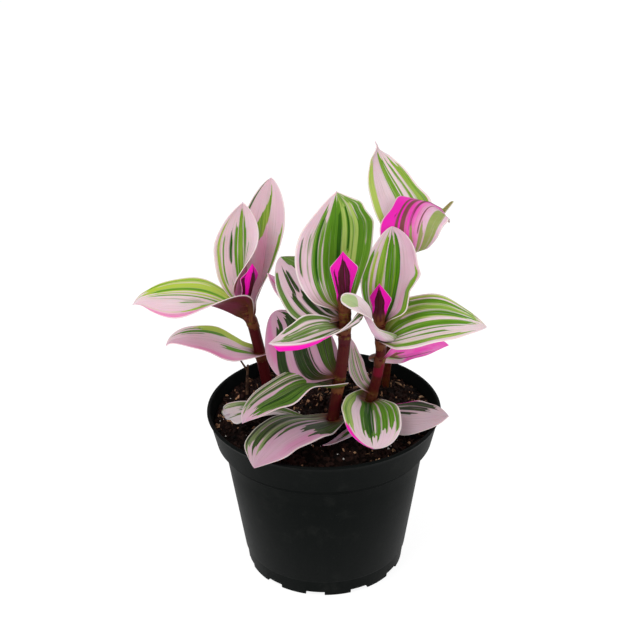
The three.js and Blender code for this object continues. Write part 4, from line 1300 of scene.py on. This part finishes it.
def soil_browns_and_front_shade(points):
    """How much brown matter lies at each point: in drifts, and thinned towards the front as painted shade.
    """
    browns = []
    for x, y, _ in points:
        drift = 0.5 + noise.noise(Vector((x, y, 3)) / DRIFT_SIZE) * DRIFT_CONTRAST
        # Brown thins towards the front of the pot: painted shade on the front of the soil
        clear_of_front_shade = float(smooth_rise(y + abs(x) * 0.5, *FRONT_SHADE_SPAN))
        browns.append(max(0.0, min(1.0, drift)) * mix((SHADED_FRONT_BROWN, 1), clear_of_front_shade))
    return browns


def soil_mesh(roughness, rings, sides):
    """The soil's body with a lumpy top: points and faces."""
    lower_heights = (FLOOR_TOP + GAP, LEDGE_HEIGHT - SHOULDER_HEIGHT, LEDGE_HEIGHT + GAP,
                     BAND_BOTTOM + 1 + GAP)
    edge = inner_radius(SOIL_TOP - SOIL_EDGE_DROP) - SOIL_GAP
    profile = [(0, FLOOR_TOP + GAP)]
    profile += [(inner_radius(height) - SOIL_GAP, height) for height in lower_heights]
    profile += [(edge * (1 - i / rings), SOIL_TOP) for i in range(rings)]
    profile.append((0, SOIL_TOP))
    points, faces = turned(profile, sides)
    lifted = []
    for x, y, z in points:
        if z >= SOIL_TOP:
            z = soil_height(x, y, roughness)
        lifted.append((x, y, z))
    return lifted, faces


def geometry_tree(name, inputs):
    """A Geometry Nodes tree with its named inputs, and the nodes that start and end it."""
    tree = bpy.data.node_groups.new(name, "GeometryNodeTree")
    tree.interface.new_socket("Geometry", in_out="OUTPUT", socket_type="NodeSocketGeometry")
    tree.interface.new_socket("Geometry", in_out="INPUT", socket_type="NodeSocketGeometry")
    for label, kind in inputs:
        tree.interface.new_socket(label, in_out="INPUT", socket_type=kind)
    nodes = Nodes(tree)
    start = tree.nodes.new("NodeGroupInput")
    return tree, nodes, {socket.name: Wire(nodes, socket) for socket in start.outputs if socket.name}


def finish_tree(nodes, geometry, material):
    """Ends a tree in real geometry with its material."""
    real = nodes.add("GeometryNodeRealizeInstances", None, geometry)
    dressed = nodes.add("GeometryNodeSetMaterial", None, real, Material=material)
    end = nodes.tree.nodes.new("NodeGroupOutput")
    nodes.connect(end.inputs[0], dressed)


def random_vector(nodes, low, high, seed):
    """A random vector for each instance, between two vectors."""
    settings = {"data_type": "FLOAT_VECTOR"}
    return nodes.add("FunctionNodeRandomValue", settings, low, high, Seed=seed)


def scatter_tree(name, material, subdivisions):
    """Scatters rough grains over the upward faces of a surface."""
    tree, nodes, given = geometry_tree(name, (
        ("Density", "NodeSocketFloat"), ("Smallest", "NodeSocketVector"), ("Largest", "NodeSocketVector"),
        ("Roughness", "NodeSocketFloat"), ("Evenness", "NodeSocketFloat"), ("Seed", "NodeSocketInt")))

    # One rough grain, larger than life until each instance is scaled
    grain = nodes.add("GeometryNodeMeshIcoSphere", None, Radius=1.0, Subdivisions=subdivisions)
    where = nodes.add("GeometryNodeInputPosition")
    noise_colour = nodes.add("ShaderNodeTexNoise", None, Vector=where, Scale=GRAIN_NOISE_SCALE,
                             Detail=1.0, output="Color")
    centred = nodes.add("ShaderNodeVectorMath", {"operation": "SUBTRACT"}, noise_colour, (0.5, 0.5, 0.5))
    push = nodes.add("ShaderNodeVectorMath", {"operation": "SCALE"}, centred, Scale=given["Roughness"])
    grain = nodes.add("GeometryNodeSetPosition", None, grain, Offset=push)

    # Spots on upward faces, more of them where there is more brown matter, and so fewer in the painted
    # shade at the front of the soil
    normal = nodes.add("GeometryNodeInputNormal")
    upright = nodes.add("ShaderNodeSeparateXYZ", None, normal, output="Z")
    facing_up = nodes.add("FunctionNodeCompare", {"operation": "GREATER_THAN"}, upright, FACING_UP)
    brown = nodes.add("GeometryNodeInputNamedAttribute", None, "brown")
    share = given["Evenness"] + (1 - given["Evenness"]) * brown
    spots = nodes.add("GeometryNodeDistributePointsOnFaces", None, given["Geometry"], Selection=facing_up,
                      Density=given["Density"] * share, Seed=given["Seed"])
    size = random_vector(nodes, given["Smallest"], given["Largest"], given["Seed"])
    turn = random_vector(nodes, (0.0, 0.0, 0.0), (math.tau, math.tau, math.tau), given["Seed"])
    grains = nodes.add("GeometryNodeInstanceOnPoints", None, spots, Instance=grain, Rotation=turn,
                       Scale=size)
    finish_tree(nodes, grains, material)
    return tree


def hair_tree(name, material):
    """Fine hairs that stand out from a surface."""
    tree, nodes, given = geometry_tree(name, (
        ("Density", "NodeSocketFloat"), ("Length", "NodeSocketFloat"), ("Width", "NodeSocketFloat"),
        ("Seed", "NodeSocketInt")))
    hair = nodes.add("GeometryNodeMeshCone", {"fill_type": "NGON"}, Vertices=3, Radius_Top=0.0,
                     Radius_Bottom=given["Width"], Depth=given["Length"])
    spots_node = nodes.tree.nodes.new("GeometryNodeDistributePointsOnFaces")
    nodes.connect(spots_node.inputs["Mesh"], given["Geometry"])
    nodes.connect(spots_node.inputs["Density"], given["Density"])
    nodes.connect(spots_node.inputs["Seed"], given["Seed"])
    spots = Wire(nodes, spots_node.outputs["Points"])
    turn = Wire(nodes, spots_node.outputs["Rotation"])
    size = random_vector(nodes, SMALLEST_HAIR, LARGEST_HAIR, given["Seed"])
    hairs = nodes.add("GeometryNodeInstanceOnPoints", None, spots, Instance=hair, Rotation=turn,
                      Scale=size)
    finish_tree(nodes, hairs, material)
    return tree


def grow(name, base, tree, values):
    """A new mesh object from a tree that is run on a copy of a piece's mesh."""
    piece = bpy.data.objects.new(name, base.data.copy())
    bpy.context.scene.collection.objects.link(piece)
    modifier = piece.modifiers.new(name, "NODES")
    modifier.node_group = tree
    for socket in tree.interface.items_tree:
        if socket.in_out == "INPUT" and socket.name in values:
            modifier[socket.identifier] = values[socket.name]
    apply_modifiers(piece)
    piece.data.name = name
    return piece


def colour_property(name, description, red, green, blue):
    """A colour setting, from how the colour shows on screen."""
    return bpy.props.FloatVectorProperty(
        name=name, description=description, default=linear(red, green, blue), size=4, min=0, max=1,
        subtype="COLOR")


class PotSettings(bpy.types.PropertyGroup):
    """Fineness and colour of the pot."""

    sides: bpy.props.IntProperty(name="Sides", description="Faces round the pot", default=160, min=24)
    plastic: colour_property("Plastic", "Colour of the plastic", 6, 9, 8)
    flow_lines: colour_property("Flow lines", "Colour of the faint upright lines", 11, 14, 13)


class SoilSettings(bpy.types.PropertyGroup):
    """How rough the soil is, and how much lies loose on it."""

    roughness: bpy.props.FloatProperty(
        name="Roughness", description="Height of the lumps in the soil, in millimetres", default=1.7, min=0)
    rings: bpy.props.IntProperty(
        name="Rings", description="Rings of points in the surface", default=60, min=8)
    sides: bpy.props.IntProperty(name="Sides", description="Points round the surface", default=180, min=24)
    crumb_density: bpy.props.FloatProperty(
        name="Crumbs", description="Crumbs on each square metre", default=360000, min=0)
    fibre_density: bpy.props.FloatProperty(
        name="Fibres", description="Brown flakes on each square metre", default=150000, min=0)
    chip_density: bpy.props.FloatProperty(
        name="Chips", description="Bark chips on each square metre", default=9000, min=0)
    perlite_density: bpy.props.FloatProperty(
        name="Perlite", description="White grains on each square metre", default=15000, min=0)
    seed: bpy.props.IntProperty(name="Seed", description="Which arrangement of crumbs is used", default=4)
    dark_peat: colour_property("Dark peat", "Colour of the soil's hollows", 7, 4, 3)
    light_peat: colour_property("Light peat", "Colour of the soil's lumps", 26, 15, 11)
    fibre: colour_property("Fibre", "Colour of the fibres in the soil", 104, 58, 36)


class StemSettings(bpy.types.PropertyGroup):
    """Fineness and form of the stems."""

    stem_rings: bpy.props.IntProperty(name="Rings", description="Rings of points along a stem", default=110)
    stem_sides: bpy.props.IntProperty(name="Sides", description="Points round a stem", default=36)
    swelling: bpy.props.FloatProperty(
        name="Swelling", description="Extra radius at a node, as a share", default=0.09, subtype="FACTOR")
    node_reach: bpy.props.FloatProperty(
        name="Node reach", description="Height of a node's swelling, in millimetres", default=1.5)
    ridges: bpy.props.FloatProperty(
        name="Ridges", description="Depth of the lengthwise ridges, as a share of the radius",
        default=0.012)
    hair_density: bpy.props.FloatProperty(
        name="Hairs", description="Hairs on each square metre of stem", default=24000, min=0)
    hair_length: bpy.props.FloatProperty(
        name="Hair length", description="Length of a hair", default=0.0012, unit="LENGTH")
    hair_width: bpy.props.FloatProperty(
        name="Hair width", description="Radius of a hair at its foot", default=0.00004, unit="LENGTH",
        precision=5)
    dark_maroon: colour_property("Dark maroon", "Darkest colour of the stems", 42, 4, 6)
    light_maroon: colour_property("Light maroon", "Lightest colour of the stems", 94, 20, 28)


class LeafSettings(bpy.types.PropertyGroup):
    """Fineness, thickness and fine forms of the leaves."""

    rows: bpy.props.IntProperty(name="Rows", description="Rows of faces along a leaf", default=64, min=8)
    columns: bpy.props.IntProperty(name="Columns", description="Faces across a leaf", default=60, min=4)
    thickness: bpy.props.FloatProperty(
        name="Thickness", description="Thickness at the midrib, in millimetres", default=0.62)
    edge: bpy.props.FloatProperty(
        name="Edge", description="Thickness at the margin, in millimetres", default=0.3)
    groove: bpy.props.FloatProperty(
        name="Groove", description="Depth of the midrib's groove, in millimetres", default=0.35)
    groove_width: bpy.props.FloatProperty(
        name="Groove width", description="Half width of the groove, in millimetres", default=0.9)
    wave: bpy.props.FloatProperty(
        name="Wave", description="Strength of the waves in the margins", default=1.0)
    ripples: bpy.props.FloatProperty(name="Ripples", description="Waves along a margin", default=2.4)
    clasp_length: bpy.props.FloatProperty(
        name="Clasp length", description="How far out the base follows the stem, in millimetres", default=6)
    clasp_gap: bpy.props.FloatProperty(
        name="Clasp gap", description="Room between stem and leaf base, in millimetres", default=0.1)
    light_green: colour_property("Light green", "Palest green of the stripes", 172, 196, 44)
    mid_green: colour_property("Green", "Middle green of the stripes", 90, 150, 0)
    dark_green: colour_property("Dark green", "Deepest green of the stripes", 34, 100, 0)
    white: colour_property("White", "Palest colour between the stripes", 226, 208, 212)
    soft_pink: colour_property("Soft pink", "Usual colour between the stripes", 214, 168, 192)
    deep_pink: colour_property("Deep pink", "Strongest colour between the stripes", 200, 120, 166)
    magenta: colour_property("Magenta", "Colour of the undersides", 236, 30, 182)


class StageSettings(bpy.types.PropertyGroup):
    """Light and floor."""

    key_power: bpy.props.FloatProperty(name="Key light", description="Main light", default=5, unit="POWER")
    fill_power: bpy.props.FloatProperty(
        name="Fill light", description="Light from the front", default=3, unit="POWER")
    back_power: bpy.props.FloatProperty(
        name="Back light", description="Light from behind", default=2.4, unit="POWER")
    sky: bpy.props.FloatProperty(name="Sky", description="Strength of the even light", default=0.62, min=0)
    floor_size: bpy.props.FloatProperty(
        name="Floor size", description="Width of the floor", default=12, unit="LENGTH")


class PLANT_OT_pot(bpy.types.Operator):
    """Adds the black plastic pot"""

    bl_idname = "plant.pot"
    bl_label = "Pot"

    def execute(self, context):
        sizes = context.scene.plant_pot
        points, faces = turned(pot_profile(), sizes.sides)
        material = material_of("black_plastic", plastic_material, sizes)
        pot = new_piece("pot_shell", points, faces, material)
        cutters = pot_cutters()
        cut = pot.modifiers.new("notches", "BOOLEAN")
        cut.object = cutters
        cut.solver = "EXACT"
        apply_modifiers(pot)
        pot.data.shade_smooth()
        pot.data.set_sharp_from_angle(angle=math.radians(SHARP_ANGLE))
        bpy.data.objects.remove(cutters)
        settle(pot, "pot", "pot")
        return {"FINISHED"}


class PLANT_OT_soil(bpy.types.Operator):
    """Adds the soil and what lies loose on it"""

    bl_idname = "plant.soil"
    bl_label = "Soil"

    def execute(self, context):
        look = context.scene.plant_soil
        points, faces = soil_mesh(look.roughness, look.rings, look.sides)
        fields = {"brown": soil_browns_and_front_shade(points)}
        material = material_of("peat", soil_material, look)
        soil = new_piece("soil_body", points, faces, material, fields)

        for order, kind in enumerate(LITTER):
            material = crumb_material(kind.material, kind.dark, kind.light)
            tree = scatter_tree(kind.name, material, kind.fineness)
            values = {"Density": getattr(look, kind.density), "Seed": look.seed + order,
                      "Smallest": [MM * size for size in kind.smallest],
                      "Largest": [MM * size for size in kind.largest],
                      "Roughness": kind.roughness, "Evenness": kind.evenness}
            piece = grow(kind.name, soil, tree, values)
            settle(piece, "soil")
        settle(soil, "soil", "soil")
        return {"FINISHED"}


class PLANT_OT_stems(bpy.types.Operator):
    """Adds the stems with their fine hairs"""

    bl_idname = "plant.stems"
    bl_label = "Stems"

    def execute(self, context):
        sizes = context.scene.plant_stems
        tree = hair_tree("stem_hairs", material_of("pale_hair", hair_material))
        for order, key in enumerate(STEMS):
            stem = build_stem(key, sizes)
            values = {"Density": sizes.hair_density, "Length": sizes.hair_length,
                      "Width": sizes.hair_width, "Seed": order}
            hairs = grow("stem_" + key + "_hairs", stem, tree, values)
            settle(hairs, "stem")
        return {"FINISHED"}


class PLANT_OT_stalk(bpy.types.Operator):
    """Adds the dry stalk"""

    bl_idname = "plant.stalk"
    bl_label = "Dry stalk"

    def execute(self, context):
        points = []
        faces = []
        for path, radius in ((STALK_PATH, STALK_RADIUS), (TWIG_PATH, TWIG_RADIUS)):
            curve = smooth_path(path, STALK_RINGS)
            lumps = np.array([noise.noise(Vector(p) / STALK_LUMP_SIZE) for p in curve])
            radii = radius * (1 + STALK_LUMPS * lumps) * np.linspace(*STALK_TAPER, len(curve))
            part, part_faces, _ = tube(curve, radii, STALK_SIDES, STALK_RIDGES)
            faces += [tuple(len(points) + index for index in face) for face in part_faces]
            points += [tuple(p) for p in part]
        material = crumb_material("dry_bark", *STALK_COLOURS)
        stalk = new_piece("dry_stalk_bark", points, faces, material)
        settle(stalk, "dry_stalk", "dry_stalk")
        return {"FINISHED"}


class PLANT_OT_leaves(bpy.types.Operator):
    """Adds the leaves"""

    bl_idname = "plant.leaves"
    bl_label = "Leaves"

    def execute(self, context):
        for order, leaf in enumerate(LEAVES):
            build_leaf(leaf, context.scene.plant_leaves, order)
        return {"FINISHED"}


def camera_frame():
    """The camera's place and its right, up and back directions."""
    tilt = math.radians(CAMERA_TILT)
    roll = math.radians(CAMERA_ROLL)
    back = Vector((0, -math.cos(tilt), math.sin(tilt)))
    up = Vector((0, math.sin(tilt), math.cos(tilt)))
    right = Vector((1, 0, 0))
    place = (Vector(CAMERA_TARGET) + back * CAMERA_DISTANCE) * MM
    rolled_right = right * math.cos(roll) + up * math.sin(roll)
    rolled_up = up * math.cos(roll) - right * math.sin(roll)
    return place, rolled_right, rolled_up, back


def add_light(name, place, size, power):
    """A square soft light that points at the middle of the plant."""
    data = bpy.data.lights.new(name, "AREA")
    data.shape = "SQUARE"
    data.size = size
    data.energy = power
    light = bpy.data.objects.new(name, data)
    light.location = place
    aim = Vector(LIGHT_TARGET) - Vector(place)
    light.rotation_euler = aim.to_track_quat("-Z", "Y").to_euler()
    bpy.context.scene.collection.objects.link(light)


class PLANT_OT_stage(bpy.types.Operator):
    """Adds the floor, the lights and the camera"""

    bl_idname = "plant.stage"
    bl_label = "Stage"

    def execute(self, context):
        look = context.scene.plant_stage
        scene = context.scene
        half = look.floor_size / 2 / MM
        corners = [(-half, -half, 0), (half, -half, 0), (half, half, 0), (-half, half, 0)]
        material = material_of("pale_floor", floor_material)
        floor = new_piece("floor", corners, [(0, 1, 2, 3)], material)
        add_light("key_light", *KEY_LIGHT, look.key_power)
        add_light("fill_light", *FILL_LIGHT, look.fill_power)
        add_light("back_light", *BACK_LIGHT, look.back_power)
        world = bpy.data.worlds.new("even_light")
        world.use_nodes = True
        background = world.node_tree.nodes["Background"]
        background.inputs["Color"].default_value = (1, 1, 1, 1)
        background.inputs["Strength"].default_value = look.sky
        scene.world = world
        place, right, up, back = camera_frame()
        data = bpy.data.cameras.new("camera")
        data.sensor_width = SENSOR_WIDTH
        data.lens = FOCAL_PIXELS / PHOTO_PIXELS * SENSOR_WIDTH
        data.clip_start = NEAREST_SEEN * MM
        camera = bpy.data.objects.new("camera", data)
        turn = Matrix((right, up, back)).transposed().to_4x4()
        camera.matrix_world = Matrix.Translation(place) @ turn
        scene.collection.objects.link(camera)
        scene.camera = camera
        scene.view_settings.view_transform = "Standard"
        scene.view_settings.look = "None"
        return {"FINISHED"}


class PLANT_PT_panel(bpy.types.Panel):
    """Lists the steps that build the plant"""

    bl_label = "Potted tradescantia"
    bl_idname = "PLANT_PT_panel"
    bl_space_type = "VIEW_3D"
    bl_region_type = "UI"
    bl_category = "Plant"

    def draw(self, context):
        for operator, group in STEPS:
            self.layout.operator(operator.bl_idname)
            if group:
                settings = getattr(context.scene, group)
                for name in settings.__annotations__:
                    self.layout.prop(settings, name)


STEPS = (
    (PLANT_OT_stage, "plant_stage"),
    (PLANT_OT_pot, "plant_pot"),
    (PLANT_OT_soil, "plant_soil"),
    (PLANT_OT_stems, "plant_stems"),
    (PLANT_OT_stalk, None),
    (PLANT_OT_leaves, "plant_leaves"),
)
GROUPS = {
    "plant_pot": PotSettings,
    "plant_soil": SoilSettings,
    "plant_stems": StemSettings,
    "plant_leaves": LeafSettings,
    "plant_stage": StageSettings,
}
CLASSES = (*GROUPS.values(), *(operator for operator, _ in STEPS), PLANT_PT_panel)


def register():
    for item in CLASSES:
        bpy.utils.register_class(item)
    for name, group in GROUPS.items():
        setattr(bpy.types.Scene, name, bpy.props.PointerProperty(type=group))


def unregister():
    for name in GROUPS:
        delattr(bpy.types.Scene, name)
    for item in reversed(CLASSES):
        bpy.utils.unregister_class(item)


def main():
    register()
    bpy.ops.plant.stage()
    bpy.ops.plant.pot()
    bpy.ops.plant.soil()
    bpy.ops.plant.stems()
    bpy.ops.plant.stalk()
    bpy.ops.plant.leaves()


if __name__ == "__main__":
    main()
